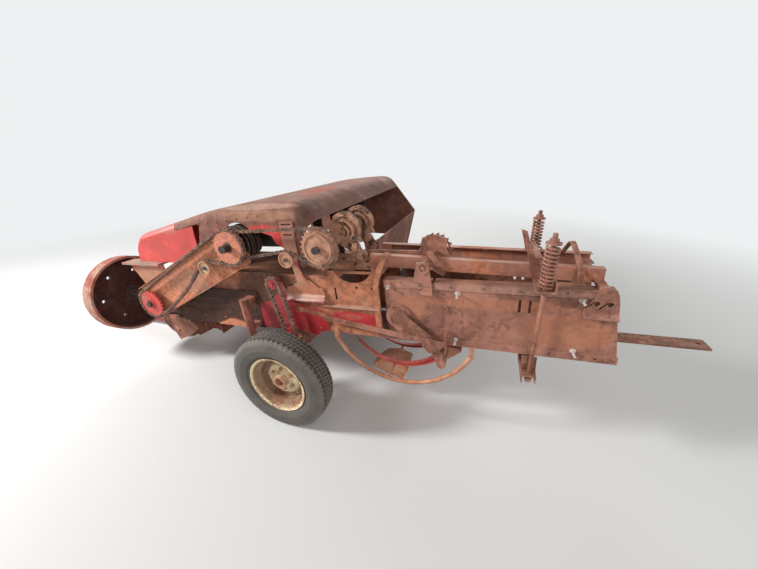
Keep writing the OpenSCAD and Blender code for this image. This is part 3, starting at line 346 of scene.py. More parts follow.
def weathered(name, paint, rust, share, size=3.0, rough=0.6, dusty=1.0, worn=1.0, spots=(),
              under=None, inside=None):
    """Paint or bare metal rusting in patches, with streaks, dust, wear, painted highlights and
    shade.

    share is the part that has rusted, size the number of patches to a metre, dusty and worn
    how much dust and rubbing there is against the usual, the worn edges also being a painted
    highlight, under the colour of the grime, and inside that of the painted shade on
    undersides.
    Each spot is (colour, centre, half sizes, strength) in the machine's own millimetres.
    """
    colours = bpy.context.scene.baler_colours
    sizes = bpy.context.scene.baler_sizes
    shader = Shader(name)
    # The patches are the largest marks, and the others are finer by a factor
    patches = shader.noise(size, 6, 0.62, warp=0.6)
    speckle = shader.noise(size * 14, 5, 0.7)
    streaks = shader.noise(1.0, 4, 0.6, vector=shader.about(ORIGIN, STREAK))
    blend = patches * 0.6 + speckle * 0.25 + streaks * 0.15
    rusted = rusted_part(blend, share, 0.035)
    chalk = shader.noise(size * 3.1, 5, 0.6).step(0.3, 0.7)
    painted = shader.tones(chalk, paint, PAINT_TONES)
    scale = shader.noise(size * 7.3, 6, 0.68).step(0.32, 0.68)
    oxide = shader.tones(scale, rust, RUST_TONES)
    colour = shader.mix(rusted, painted, oxide)
    for spot_colour, centre, half, strength in spots:
        mask = shader.spot(centre, half) * strength
        colour = shader.mix(mask, colour, shader.tones(scale, spot_colour, SPOT_TONES))
    # Painted shade: faces that look down are darkened towards the inside colour
    if inside:
        underside = (0 - shader.rise()).step(0.05, 0.4)
        colour = shader.mix(underside * 0.9, colour, inside)
    pits = shader.noise(size * 30, 4, 0.75)
    grime = (blend * 0.5 + pits * 0.5).step(0.56, 0.68) * 0.55
    colour = shader.mix(grime, colour, under or colours.rust_dark)
    # Worn pale edges: wear, and also a painted highlight along every edge
    rubbed_and_highlit = (shader.edges() * speckle.step(0.36, 0.6)) * (sizes.wear * worn)
    colour = shader.mix(rubbed_and_highlit, colour, colours.pale)
    cloud = shader.noise(5, 5, 0.65).step(0.3, 0.75)
    film = shader.rise().step(0.35, 0.95) * cloud * (sizes.dusting * dusty)
    colour = shader.mix(film, colour, colours.dust)
    roughness = rusted * 0.25 + pits * 0.12 + rough * 0.85
    height = rusted * 0.25 + pits * 0.6 + speckle * 0.3
    return shader.finish(colour, roughness.clamped(), height, PANEL_RELIEF)


def turned_finish(name, centre, axis, paint, rust, rings, share, rough=0.6):
    """A finish for a wheel about an axis, given as 0 for X or 1 for Y.

    rings is a list of (radius in metres, colour, strength) from the rim inwards, and each
    colour fills the wheel inside its radius.
    """
    colours = bpy.context.scene.baler_colours
    shader = Shader(name)
    radius, _along = shader.turned(centre, axis)
    patches = shader.noise(7, 6, 0.65, warp=0.5)
    speckle = shader.noise(60, 5, 0.7)
    rusted = rusted_part(patches * 0.65 + speckle * 0.35, share, 0.04)
    cloud = shader.noise(20, 6, 0.68).step(0.32, 0.68)
    painted = shader.tones(cloud, paint, WHEEL_PAINT_TONES)
    oxide = shader.tones(cloud, rust, WHEEL_RUST_TONES)
    colour = shader.mix(rusted, painted, oxide)
    for reach, ring_colour, strength in rings:
        inside = 1 - (radius + patches * 0.012).step(reach - 0.004, reach + 0.008)
        ring = shader.tones(cloud, ring_colour, RING_TONES)
        colour = shader.mix(inside * strength, colour, ring)
    # Worn pale edges: wear, and also a painted highlight along every edge
    rubbed_and_highlit = shader.edges() * speckle.step(0.4, 0.6) * 0.5
    colour = shader.mix(rubbed_and_highlit, colour, colours.pale)
    roughness = rusted * 0.2 + speckle * 0.15 + rough * 0.8
    height = rusted * 0.3 + speckle * 0.5
    return shader.finish(colour, roughness.clamped(), height, WHEEL_RELIEF)


# Radii of the ribs moulded in a tyre's wall, and half of its width, in metres
WALL_RIBS = (0.207, 0.214, 0.226, 0.262, 0.268, 0.292, 0.301, 0.310)
RIB_WIDTH = 0.003
TYRE_HALF = 0.0875


def rubber_finish(name, centre):
    """Grey tyre rubber, browner low on its walls, with soil in patches and painted shade in
    grooves.
    """
    colours = bpy.context.scene.baler_colours
    rubber = colours.rubber
    shader = Shader(name)
    radius, along = shader.turned(centre, 1)
    cloud = shader.noise(9, 5, 0.6)
    fine = shader.noise(90, 4, 0.7)
    colour = shader.tones(cloud.step(0.3, 0.7), rubber, RUBBER_TONES)
    wall = 1 - (radius + cloud * 0.02).step(0.285, 0.325)
    colour = shader.mix(wall * 0.55, colour, shade(rubber, 0.62))
    shoulder = (radius + cloud * 0.012).step(0.316, 0.336)
    colour = shader.mix(shoulder * 0.35, colour, shade(rubber, 1.35))
    # Painted shade: the bottoms of the tread's grooves are darkened
    band = 1 - (along * along).step(TYRE_HALF ** 2 * 0.38, TYRE_HALF ** 2 * 0.5)
    groove = radius.step(0.326, 0.336) * (1 - radius.step(0.3405, 0.3445))
    colour = shader.mix(groove * band * 0.9, colour, shade(rubber, 0.25))
    # Painted shade: the recessed ribs of the wall are drawn as dark lines
    ribs = 0
    for rib in WALL_RIBS:
        rising, falling = radius.step(rib - RIB_WIDTH, rib), radius.step(rib, rib + RIB_WIDTH)
        ribs = ribs + rising * (1 - falling)
    colour = shader.mix((ribs * 0.6).clamped(), colour, shade(rubber, 0.3))
    soil = (cloud * 0.5 + fine * 0.5).step(0.5, 0.64) * 0.35
    colour = shader.mix(soil, colour, shade(colours.dust, 0.55))
    height = fine * 0.4 - ribs * 0.6 + 0.6
    return shader.finish(colour, (cloud * 0.2 + 0.68).clamped(), height, RUBBER_RELIEF)


def base_finishes():
    """Finish of every CAD node: (name, nodes, paint, rust, share rusted, further settings)."""
    c = bpy.context.scene.baler_colours
    return [
        ("paint_cover", ("front_cover",), c.cover_red, c.faded_red, 0.16,
         {"size": 2.0, "rough": 0.42, "spots": [
             (c.tan, (1350, 240, 560), (260, 14, 130), 0.9),
             (shade(c.pale, 0.7), (1340, 250, 680), (280, 130, 22), 1.0),
             (c.rust_mauve, (960, 200, 960), (120, 120, 60), 0.5)]}),
        # Its undersides take dark rust as painted shade
        ("paint_hood", ("hood",), shade(c.faded_red, 0.6), shade(c.rust_mauve, 0.62), 0.7,
         {"size": 2.2, "rough": 0.62, "dusty": 1.3, "inside": c.rust_dark, "spots": [
             (c.cover_red, (430, 235, 820), (170, 60, 150), 0.75),
             (c.cover_red, (130, 235, 890), (230, 60, 90), 0.95),
             (c.panel_red, (30, 235, 800), (120, 60, 60), 0.7),
             (c.tan, (150, 235, 1030), (330, 70, 40), 0.6),
             # Painted shade on the hood's rear faces, which face away from the light
             (shade(c.rust_brown, 0.35), (-200, 150, 930), (70, 160, 260), 0.85),
             (shade(c.rust_brown, 0.5), (-270, -650, 960), (110, 1000, 240), 0.6),
             (c.faded_red, (760, 0, 1080), (300, 260, 60), 0.6),
             (shade(c.panel_red, 1.2), (25, -380, 1103), (110, 250, 30), 0.6),
             # Painted highlight along the rolled top edge
             (c.pale, (110, 222, 1082), (300, 40, 22), 0.6)]}),
        ("rust_casing", ("plunger_casing",), c.tan, c.rust_orange, 0.72,
         {"size": 3.4, "spots": [
             (shade(c.panel_red, 1.3), (-465, 236, 348), (230, 30, 62), 1.0),
             # Painted highlight on the lit top of the ledge
             (c.pale, (-460, 250, 445), (210, 22, 12), 0.8),
             (c.rust_orange, (-430, 236, 366), (90, 26, 22), 0.5),
             (c.rust_brown, (500, 236, 400), (420, 40, 170), 0.75),
             # Painted shadow of the tray and hood on the casing's front, behind the chains
             (shade(c.rust_brown, 0.28), (190, 236, 540), (300, 60, 150), 0.8)]}),
        ("rust_chamber_left", ("chamber_side_left",), c.rust_mauve,
         shade(c.rust_mauve, 0.66), 0.5,
         {"size": 3.0, "worn": 1.2, "under": shade(c.rust_brown, 0.7), "spots": [
             (c.rust_orange, (-1640, 236, 400), (210, 30, 110), 0.6),
             (c.rust_orange, (-1250, 236, 530), (420, 30, 38), 0.5),
             (c.rust_orange, (-830, 236, 470), (100, 30, 80), 0.55),
             (c.pale, (-1300, 240, 615), (600, 12, 20), 0.35)]}),
        ("rust_chamber", ("chamber_side_right", "chamber_floor", "hitch_bar"),
         c.rust_mauve, c.rust_brown, 0.6, {"size": 3.0}),
        ("rust_plunger", ("plunger",), c.rust_orange, c.rust_brown, 0.5, {"size": 4}),
        # Painted shade: the frame in the shadow under the tray is painted nearly black, and
        # its lower flange, which faces the light, a brighter orange
        ("dark_frame", ("front_frame",), shade(c.rust_brown, 0.2),
         shade(c.rust_brown, 0.36), 0.5,
         {"size": 5, "rough": 0.95, "dusty": 0.3, "worn": 0.2, "spots": [
             (shade(c.rust_orange, 1.2), (560, 296, 232), (170, 60, 48), 0.9)]}),
        ("rust_hanger", ("hanger",), c.rust_orange, c.rust_brown, 0.5, {"size": 4}),
        ("iron_gearbox", ("gearbox",), c.iron, shade(c.rust_brown, 0.5), 0.5, {"size": 6}),
        ("tan_tray", ("drive_tray",), c.tan, shade(c.rust_orange, 1.3), 0.66,
         {"size": 4.5, "spots": [(c.rust_mauve, (900, 307, 560), (200, 20, 90), 0.5),
                                 (shade(c.cream, 0.6), (552, 352, 714), (54, 30, 54), 0.8),
                                 (c.iron, (552, 352, 714), (18, 60, 18), 1.0)]}),
        ("paint_small_sprocket", ("small_sprocket",), shade(c.cover_red, 0.9), c.faded_red,
         0.4, {"size": 9}),
        ("paint_big_sprocket", ("big_sprocket",), shade(c.faded_red, 1.5),
         shade(c.rust_orange, 1.3), 0.55,
         {"size": 8, "spots": [(c.iron, (309, 350, 856), (40, 60, 40), 0.9)]}),
        # Oily iron, darkened further as painted shade behind the big sprocket; its worn fin
        # edges are also painted highlights
        ("iron_clutch", ("slip_clutch",), shade(c.iron, 0.4), shade(c.rust_dark, 0.7), 0.4,
         {"size": 9, "worn": 1.8}),
        ("tan_cross_shaft", ("cross_shaft",), c.tan, shade(c.rust_mauve, 0.9), 0.45,
         {"size": 9, "spots": [(shade(c.iron, 0.5), (-331, 372, 850), (30, 40, 30), 1.0)]}),
        ("paint_side_plates", ("side_plates",), c.panel_red, c.faded_red, 0.24,
         {"size": 4, "rough": 0.5, "spots": [
             (c.rust_orange, (-120, 250, 545), (190, 40, 90), 1.0),
             (c.pale, (-127, 262, 490), (170, 24, 16), 0.9),
             (c.tan, (-127, 252, 508), (170, 24, 9), 0.9),
             (c.rust_mauve, (-80, 250, 900), (80, 30, 190), 1.0),
             (c.tan, (-74, 250, 640), (60, 30, 90), 0.9),
             (c.tan, (-99, 330, 780), (64, 40, 64), 1.0),
             (c.iron, (-99, 345, 780), (14, 40, 14), 1.0)]}),
        ("iron_knotters", ("knotter_left", "knotter_right"), shade(c.tan, 0.95),
         shade(c.rust_brown, 0.25), 0.4, {"size": 12, "worn": 1.3}),
        ("rust_star", ("star_wheel",), c.rust_mauve, c.rust_brown, 0.5, {"size": 9}),
        ("rust_trip", ("trip_linkage", "needle_linkage"), c.rust_mauve, c.rust_brown, 0.45,
         {"size": 6, "rough": 0.45}),
        ("rust_rails", ("top_rails",), c.rust_mauve, c.rust_orange, 0.5,
         {"size": 4, "dusty": 1.3}),
        ("rust_hinge", ("bale_hinge_plate",), c.rust_mauve, shade(c.rust_mauve, 0.7), 0.5,
         {"size": 6, "dusty": 0.3}),
        ("rust_tension", ("tension_frame", "tension_rods", "tension_springs"),
         c.rust_mauve, c.rust_brown, 0.5, {"size": 7, "worn": 1.2, "spots": [
             (c.tan, (-1490, 272, 110), (50, 60, 34), 0.8)]}),
        ("paint_needles", ("needles",), c.needle_red, c.panel_red, 0.25,
         {"size": 6, "rough": 0.38,
          "spots": [(c.tan, (-1010, 150, 110), (110, 300, 80), 0.9)]}),
        ("tan_guard", ("needle_guard",), shade(c.tan, 1.1), shade(c.rust_orange, 1.1), 0.5,
         {"size": 5, "spots": [(c.tan, (-600, 0, -140), (150, 80, 100), 0.8)]}),
        ("iron_chain", ("main_chain", "clutch_chain", "down_chain"), c.chain,
         shade(c.tan, 0.6), 0.45, {"size": 16, "rough": 0.8}),
        ("paint_feeder", ("feeder_deck",), c.faded_red, c.rust_brown, 0.6, {"size": 2.6}),
        ("iron_packers", ("packer_tines",), c.iron, shade(c.rust_brown, 0.5), 0.55,
         {"size": 6}),
        ("paint_pickup", ("pickup_frame",), shade(c.panel_red, 0.85), c.rust_brown, 0.55,
         {"size": 4}),
        ("iron_reel", ("pickup_reel",), c.iron, c.rust_orange, 0.55, {"size": 8}),
        ("rubber_gauge", ("gauge_wheel",), shade(c.rubber, 0.7), c.rust_dark, 0.3,
         {"size": 8, "rough": 0.8}),
        ("paint_axle", ("axle_beam", "left_leg"), c.faded_red, c.rust_brown, 0.5, {"size": 4}),
        ("paint_tongue", ("tongue",), shade(c.panel_red, 0.8), c.rust_brown, 0.6, {"size": 3}),
        ("rubber_tyres", ("left_tyre", "right_tyre"), c.rubber, shade(c.rubber, 0.7), 0.5,
         {"size": 8, "rough": 0.85}),
    ]


class BALER_OT_finishes(bpy.types.Operator):
    """Gives every CAD piece its paint, rust, iron or rubber"""

    bl_idname = "baler.finishes"
    bl_label = "Finishes"

    def execute(self, context):
        colours = context.scene.baler_colours
        dressed = {}
        for name, nodes, paint, rust, share, more in base_finishes():
            material = weathered(name, paint, rust, share, **more)
            dressed.update({node: material for node in nodes})
        # From the lip inwards: the well, dark rust deepened with painted shade, the cream
        # disc, the hub, and its middle painted near black as the shade in its bore
        wheel_rings = [
            (0.1925, shade(colours.rust_orange, 0.36), 0.82),
            (0.126, shade(colours.cream, 1.05), 0.7),
            (0.05, colours.faded_red, 0.8),
            (0.03, shade(colours.rust_dark, 0.4), 1.0),
        ]
        for node, centre in (("left_rim", LEFT_WHEEL), ("right_rim", RIGHT_WHEEL)):
            dressed[node] = turned_finish("cream_" + node, centre, 1, colours.cream,
                                          colours.tan, wheel_rings, share=0.38)
        # Inside the pale rim: the web, its dark red deepened as painted shade on the rear
        # face, and the hub
        flywheel_rings = [
            (0.316, tone(56, 18, 14), 0.95),
            (0.06, shade(colours.iron, 0.6), 0.7),
        ]
        dressed["flywheel"] = turned_finish(
            "paint_flywheel", FLYWHEEL, 0, shade(colours.pale, 0.85), colours.faded_red,
            flywheel_rings, share=0.5, rough=0.95)
        for node, obj in frame["nodes"].items():
            if node not in dressed:
                raise RuntimeError(f"no finish for {node}")
            obj.data.materials.clear()
            obj.data.materials.append(dressed[node])
        return {"FINISHED"}


def settle(name, mesh, material, body, smooth=True, replaced=()):
    """Puts a finished mesh in the scene as one piece that rides on a body."""
    obj = bpy.data.objects.new(name, mesh)
    bpy.context.scene.collection.objects.link(obj)
    mesh.materials.clear()
    mesh.materials.append(material)
    if smooth:
        mesh.shade_smooth()
    else:
        mesh.shade_flat()
    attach(obj, body)
    if replaced:
        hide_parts(*replaced)
    return obj


def grow(name, tree, mesh, values):
    """Runs a geometry tree on a mesh and returns the result as a plain mesh."""
    source = bpy.data.objects.new(name, mesh)
    bpy.context.scene.collection.objects.link(source)
    modifier = source.modifiers.new("build", "NODES")
    modifier.node_group = tree
    for socket in tree.interface.items_tree:
        if socket.in_out == "INPUT" and socket.name in values:
            modifier[socket.identifier] = values[socket.name]
    graph = bpy.context.evaluated_depsgraph_get()
    result = bpy.data.meshes.new_from_object(source.evaluated_get(graph))
    source.modifiers.remove(modifier)
    bpy.data.objects.remove(source)
    if not result.polygons:
        raise RuntimeError(f"{name} came out empty")
    return result


def geometry_tree(name, sizes):
    """An empty geometry tree with named size inputs: [(name, default)]."""
    tree = bpy.data.node_groups.new(name, "GeometryNodeTree")
    tree.is_modifier = True
    sockets = tree.interface
    sockets.new_socket("Geometry", in_out="INPUT", socket_type="NodeSocketGeometry")
    for label, default in sizes:
        kind = "NodeSocketInt" if isinstance(default, int) else "NodeSocketFloat"
        socket = sockets.new_socket(label, in_out="INPUT", socket_type=kind)
        socket.default_value = default
    sockets.new_socket("Geometry", in_out="OUTPUT", socket_type="NodeSocketGeometry")
    graph = Graph(tree)
    entry = tree.nodes.new("NodeGroupInput")
    inputs = {socket.name: Value(graph, socket) for socket in entry.outputs if socket.name}
    return graph, inputs


def close_tree(graph, geometry, material):
    """Ends a tree in Realize Instances and Set Material."""
    plain = graph.node("GeometryNodeRealizeInstances", {}, {"Geometry": geometry})
    dressed = graph.node("GeometryNodeSetMaterial", {},
                         {"Geometry": plain, "Material": material})
    exit_node = graph.tree.nodes.new("NodeGroupOutput")
    graph.tree.links.new(dressed.socket, exit_node.inputs[0])
    return graph.tree


def facing_rotation(graph, axis, pivot):
    """Turns an instance's axis to the vector stored with each point."""
    facing = graph.node("GeometryNodeInputNamedAttribute", {"data_type": "FLOAT_VECTOR"},
                        {"Name": "facing"})
    settings = {"axis": axis, "pivot_axis": pivot}
    return graph.node("FunctionNodeAlignRotationToVector", settings, {"Vector": facing})


def vector_of(graph, **parts):
    """A vector put together from numbers or sockets named X, Y and Z."""
    return graph.node("ShaderNodeCombineXYZ", {}, parts)


def cylinder(graph, sides, radius, height, place, turn=(0, 0, 0)):
    """A closed cylinder along its own Z, then turned and moved."""
    settings = {"fill_type": "NGON"}
    inputs = {"Vertices": sides, "Radius": radius, "Depth": height}
    shape = graph.node("GeometryNodeMeshCylinder", settings, inputs)
    inputs = {"Geometry": shape, "Translation": place, "Rotation": turn}
    return graph.node("GeometryNodeTransform", {}, inputs)


def on_points(graph, mesh, shape, rotation, material):
    """Ends a tree with a shape on each point of a mesh, in the size stored with the point."""
    scale = graph.node("GeometryNodeInputNamedAttribute", {"data_type": "FLOAT"},
                       {"Name": "size"})
    points = graph.node("GeometryNodeMeshToPoints", {}, {"Mesh": mesh})
    placed = graph.node("GeometryNodeInstanceOnPoints", {}, {
        "Points": points, "Instance": shape, "Rotation": rotation, "Scale": scale})
    return close_tree(graph, placed, material)


# Largest turn of a bolt's head about its axis, about a sixth of a full turn
HEAD_SPIN = 1.05


def fastener_tree(material):
    """Hexagon heads on washers, one at each point, with the end of the bolt standing out."""
    graph, size = geometry_tree("hexagon_heads", [
        ("Head Radius", 0.0095), ("Head Height", 0.007), ("Washer Reach", 0.35),
        ("Washer Thickness", 0.0016), ("Stud Length", 0.004), ("Seed", 3)])
    radius, height = size["Head Radius"], size["Head Height"]
    washer, stud = size["Washer Thickness"], size["Stud Length"]
    # Each piece reaches a little way into the one below it
    shape = graph.join(
        cylinder(graph, 6, radius, height, vector_of(graph, Z=height * 0.5 + washer)),
        cylinder(graph, 16, radius * (size["Washer Reach"] + 1), washer * 1.4,
                 vector_of(graph, Z=washer * 0.4)),
        cylinder(graph, 10, radius * 0.55, stud,
                 vector_of(graph, Z=height + washer + stud * 0.4)))
    spin = graph.node("FunctionNodeRandomValue", {"data_type": "FLOAT"},
                      {2: 0.0, 3: HEAD_SPIN, "Seed": size["Seed"]}, 1)
    turned = graph.node("FunctionNodeRotateRotation", {"rotation_space": "LOCAL"}, {
        "Rotation": facing_rotation(graph, "Z", "AUTO"),
        "Rotate By": vector_of(graph, Z=spin)})
    return on_points(graph, size["Geometry"], shape, turned, material)


def rivet_tree(material):
    """Low domed heads, one at each point."""
    graph, size = geometry_tree("domed_heads", [("Head Radius", 0.007), ("Flatness", 0.5)])
    dome = graph.node("GeometryNodeMeshUVSphere", {},
                      {"Segments": 12, "Rings": 6, "Radius": size["Head Radius"]})
    squash = vector_of(graph, X=1.0, Y=1.0, Z=size["Flatness"])
    dome = graph.node("GeometryNodeTransform", {}, {"Geometry": dome, "Scale": squash})
    facing = facing_rotation(graph, "Z", "AUTO")
    return on_points(graph, size["Geometry"], dome, facing, material)


def points_mesh(name, rows):
    """Loose points with a direction and a size each: (place, facing, size)."""
    mesh = bpy.data.meshes.new(name)
    mesh.from_pydata([row[0] for row in rows], [], [])
    facing = mesh.attributes.new("facing", "FLOAT_VECTOR", "POINT")
    facing.data.foreach_set("vector", [v for row in rows for v in row[1]])
    size = mesh.attributes.new("size", "FLOAT", "POINT")
    size.data.foreach_set("value", [row[2] for row in rows])
    return mesh


def row_of(first, last, count, facing, size):
    """Evenly spaced places on a straight line in the machine's millimetres."""
    share = [i / max(1, count - 1) for i in range(count)]
    return [(at(*(a + (b - a) * t for a, b in zip(first, last))), facing, size)
            for t in share]


def ring_of(centre, axis, start, radius, count, size, turn=0.0):
    """Places on a circle about an axis through a point of the shared frame, in metres."""
    side = axis.orthogonal().normalized()
    other = axis.cross(side)
    angles = [turn + math.tau * i / count for i in range(count)]
    return [(centre + axis * start + (side * math.cos(a) + other * math.sin(a)) * radius,
             axis, size) for a in angles]


# Half of a road tyre's section, from bead to crown: (radius, half width) in millimetres
TYRE_SECTION = [(193, 57), (200, 59), (208, 60.5), (214, 63), (222, 72), (229, 78.5),
                (233, 80.5), (236, 80.5), (244, 83), (256, 86), (268, 87.3), (280, 86.6),
                (292, 84.4), (304, 81.6), (308, 81.4), (311, 80.2), (320, 77), (328, 73),
                (334, 69.5), (339, 65.5), (342, 61)]
# Inside of the bead, and how far the wall's radii waver, in millimetres
BEAD = (190, 50)
WALL_WAVER = 0.5
# The tread in millimetres: half its width, its radius in the middle and how much lower its
# edges lie, with the number of steps across it and around it
TREAD_EDGE = 58
CROWN = 347.8
CROWN_FALL = 5
TREAD_STEPS = 44
AROUND = 720
# Its grooves: places across it, half width, and the height and number of their waves
GROOVES = (-41, -14, 14, 41)
GROOVE_HALF = 4.8
WAVE_HEIGHT = 4.2
WAVES = 54
# Its sipes in the middle: how many go round, the share of their spacing that each takes,
# their depth against a groove's, and how they lean across the tread
SIPES = 90
SIPE_SHARE = 0.26
SIPE_DEPTH = 0.7
SIPE_LEAN = 0.0016
# Its sipes on the shoulders, past this place across it
SHOULDER = 50
SHOULDER_SIPES = 60
SHOULDER_SHARE = 0.28
# Radius past which the shoulders' sipes also notch the wall, and how deep
NOTCH_RADIUS = 318
NOTCH_DEPTH = 2.5
# Angle in degrees past which an edge of the tread or the wall stays crisp
CRISP_EDGE = 35


def tread_drop(angle, across, depth):
    """How far the tread lies below its crown at a place on the tyre, in millimetres."""
    wave = WAVE_HEIGHT * (2 * abs((angle * WAVES / math.tau) % 1 - 0.5) - 0.5)
    for groove in GROOVES:
        if abs(across - groove - wave) < GROOVE_HALF:
            return depth
    lean = across * SIPE_LEAN
    if abs(across) > SHOULDER:
        if (angle * SHOULDER_SIPES / math.tau + lean * 3) % 1 < SHOULDER_SHARE:
            return depth
    elif (angle * SIPES / math.tau + lean * 9) % 1 < SIPE_SHARE:
        return depth * SIPE_DEPTH
    return 0.0


def tyre_mesh(name, centre, depth):
    """A tyre with ribbed walls and a siped tread, round an axle along Y."""
    wall = [(r + WALL_WAVER * math.sin(i * 2.1), w) for i, (r, w) in enumerate(TYRE_SECTION)]
    tread = [-TREAD_EDGE + 2 * TREAD_EDGE * i / TREAD_STEPS for i in range(TREAD_STEPS + 1)]
    # Each row is (radius, place across), and a row of the tread works out its own radius
    rows = ([(r, -w) for r, w in wall] + [(None, w) for w in tread]
            + [(r, w) for r, w in reversed(wall)] + [BEAD, (BEAD[0], -BEAD[1])])
    verts = []
    for i in range(AROUND):
        angle = math.tau * i / AROUND
        notched = (angle * SHOULDER_SIPES / math.tau) % 1 < SHOULDER_SHARE
        for radius, across in rows:
            if radius is None:
                crown = CROWN - CROWN_FALL * (across / TREAD_EDGE) ** 2
                radius = crown - tread_drop(angle, across, depth * 1000)
            elif notched and radius > NOTCH_RADIUS:
                radius -= NOTCH_DEPTH
            verts.append((centre.x + radius * math.cos(angle) / 1000,
                          centre.y + across / 1000,
                          centre.z + radius * math.sin(angle) / 1000))
    count = len(rows)
    faces = []
    for i in range(AROUND):
        a, b = i * count, ((i + 1) % AROUND) * count
        for k in range(count):
            n = (k + 1) % count
            faces.append((a + k, a + n, b + n, b + k))
    mesh = bpy.data.meshes.new(name)
    mesh.from_pydata(verts, [], faces)
    mesh.validate()
    return outward(mesh)


def outward(mesh):
    """Turns a closed mesh's faces outwards."""
    work = bmesh.new()
    work.from_mesh(mesh)
    bmesh.ops.recalc_face_normals(work, faces=work.faces)
    if work.calc_volume(signed=True) < 0:
        bmesh.ops.reverse_faces(work, faces=work.faces)
    work.to_mesh(mesh)
    work.free()
    return mesh


class BALER_OT_tyres(bpy.types.Operator):
    """Makes both road tyres with their siped treads and ribbed walls"""

    bl_idname = "baler.tyres"
    bl_label = "Tyres"

    def execute(self, context):
        depth = context.scene.baler_sizes.tread_depth
        for side, centre in (("left", LEFT_WHEEL), ("right", RIGHT_WHEEL)):
            name = side + "_road_tyre"
            mesh = tyre_mesh(name, centre, depth)
            material = rubber_finish("rubber_" + side, centre)
            tyre = settle(name, mesh, material, side + "_wheel",
                          replaced=(side + "_tyre",))
            sharpen(tyre.data, CRISP_EDGE)
        return {"FINISHED"}


def sharpen(mesh, degrees):
    """Keeps edges sharper than an angle crisp on a smooth mesh."""
    work = bmesh.new()
    work.from_mesh(mesh)
    limit = math.radians(degrees)
    for edge in work.edges:
        edge.smooth = edge.calc_face_angle(0) < limit
    work.to_mesh(mesh)
    work.free()


# Pitch of the roller chains, in millimetres
PITCH = 31.75


def pitch_radius(teeth):
    """The radius at which a wheel of so many teeth carries a chain."""
    return PITCH / (2 * math.sin(math.pi / teeth))


# Middles of the wheels that carry the chains in the machine's side view, and the radii of
# the plain ones
SMALL, BIG, IDLER = (1278, 377), (309, 856), (552, 714)
REAR_IDLER, KNOTTER = (-99, 780), (-331, 850)
UPPER_DRUM, LOWER_DRUM = (80, 600), (20, 230)
IDLER_RADIUS = 50
DRUM_RADIUS = 45
# Each chain: its wheels, its place across the machine and its width, in millimetres. Each
# wheel: (centre, pitch radius, side it is passed on, sag of the strand that leaves it)
CHAINS = {
    "main": ([(SMALL, pitch_radius(23), -1, 36), (IDLER, IDLER_RADIUS, 1, 0),
              (BIG, pitch_radius(23), -1, 0)], 350, 26),
    "clutch": ([(BIG, pitch_radius(18), -1, 0), (REAR_IDLER, IDLER_RADIUS, 1, 0),
                (KNOTTER, pitch_radius(23), -1, 0)], 320, 22),
    "down": ([(UPPER_DRUM, DRUM_RADIUS, -1, 0), (LOWER_DRUM, DRUM_RADIUS, -1, 0)], 300, 22),
}


def strand_angle(first, second):
    """Direction of the strand that touches two wheels, each on its own side."""
    along = Vector(second[0]) - Vector(first[0])
    step = first[2] * first[1] - second[2] * second[1]
    return math.atan2(along.y, along.x) + math.asin(step / along.length)


def leaving(wheel, angle):
    """Where a strand of this direction touches a wheel."""
    centre, radius, side, _sag = wheel
    return Vector(centre) + Vector((math.sin(angle), -math.cos(angle))) * (side * radius)


def chain_pins(wheels):
    """Places of the chain's pins in the side view, about one pitch apart."""
    count = len(wheels)
    pins = []
    for i, wheel in enumerate(wheels):
        following = wheels[(i + 1) % count]
        angle = strand_angle(wheel, following)
        start, end = leaving(wheel, angle), leaving(following, angle)
        along = (end - start).normalized()
        links = max(1, round((end - start).length / PITCH))
        # t * (1 - t) comes to a quarter in the middle of the strand
        sag = Vector((-along.y, along.x)) * wheel[3] * 4
        for k in range(links):
            t = k / links
            pins.append(start.lerp(end, t) + sag * t * (1 - t))
        after = strand_angle(following, wheels[(i + 2) % count])
        _centre, radius, side, _sag = following
        swing = ((after - angle) * side) % math.tau
        turns = max(1, round(swing * radius / PITCH))
        for k in range(turns):
            pins.append(leaving(following, angle + side * swing * k / turns))
    return pins


def link_tree(material):
    """Links of a roller chain, one on each point: two waisted plates, a roller and its pin."""
    graph, size = geometry_tree("roller_links", [
        ("Width", 0.026), ("Plate", 0.0028), ("Roller", 0.0095), ("Pitch", PITCH / 1000),
        ("Inner", 0.0)])
    roller, plate, width = size["Roller"], size["Plate"], size["Width"]
    half = width * 0.5 - plate * 0.5 - size["Inner"]
    reach = size["Pitch"] * 0.5
    flat = (math.pi / 2, 0, 0)
    parts = []
    for side in (-1, 1):
        across = half * side
        bar_size = vector_of(graph, X=size["Pitch"], Y=plate, Z=roller * 1.5)
        bar = graph.node("GeometryNodeMeshCube", {}, {"Size": bar_size})
        parts.append(graph.node("GeometryNodeTransform", {}, {
            "Geometry": bar, "Translation": vector_of(graph, Y=across)}))
        for end in (-1, 1):
            eye_place = vector_of(graph, X=reach * end, Y=across)
            parts.append(cylinder(graph, 12, roller * 1.12, plate * 1.06, eye_place, flat))
    pin_place = vector_of(graph, X=reach)
    parts.append(cylinder(graph, 12, roller * 0.98, width - plate * 2, pin_place, flat))
    parts.append(cylinder(graph, 8, roller * 0.5, width + 0.003, pin_place, flat))
    facing = facing_rotation(graph, "X", "Y")
    return on_points(graph, size["Geometry"], graph.join(*parts), facing, material)


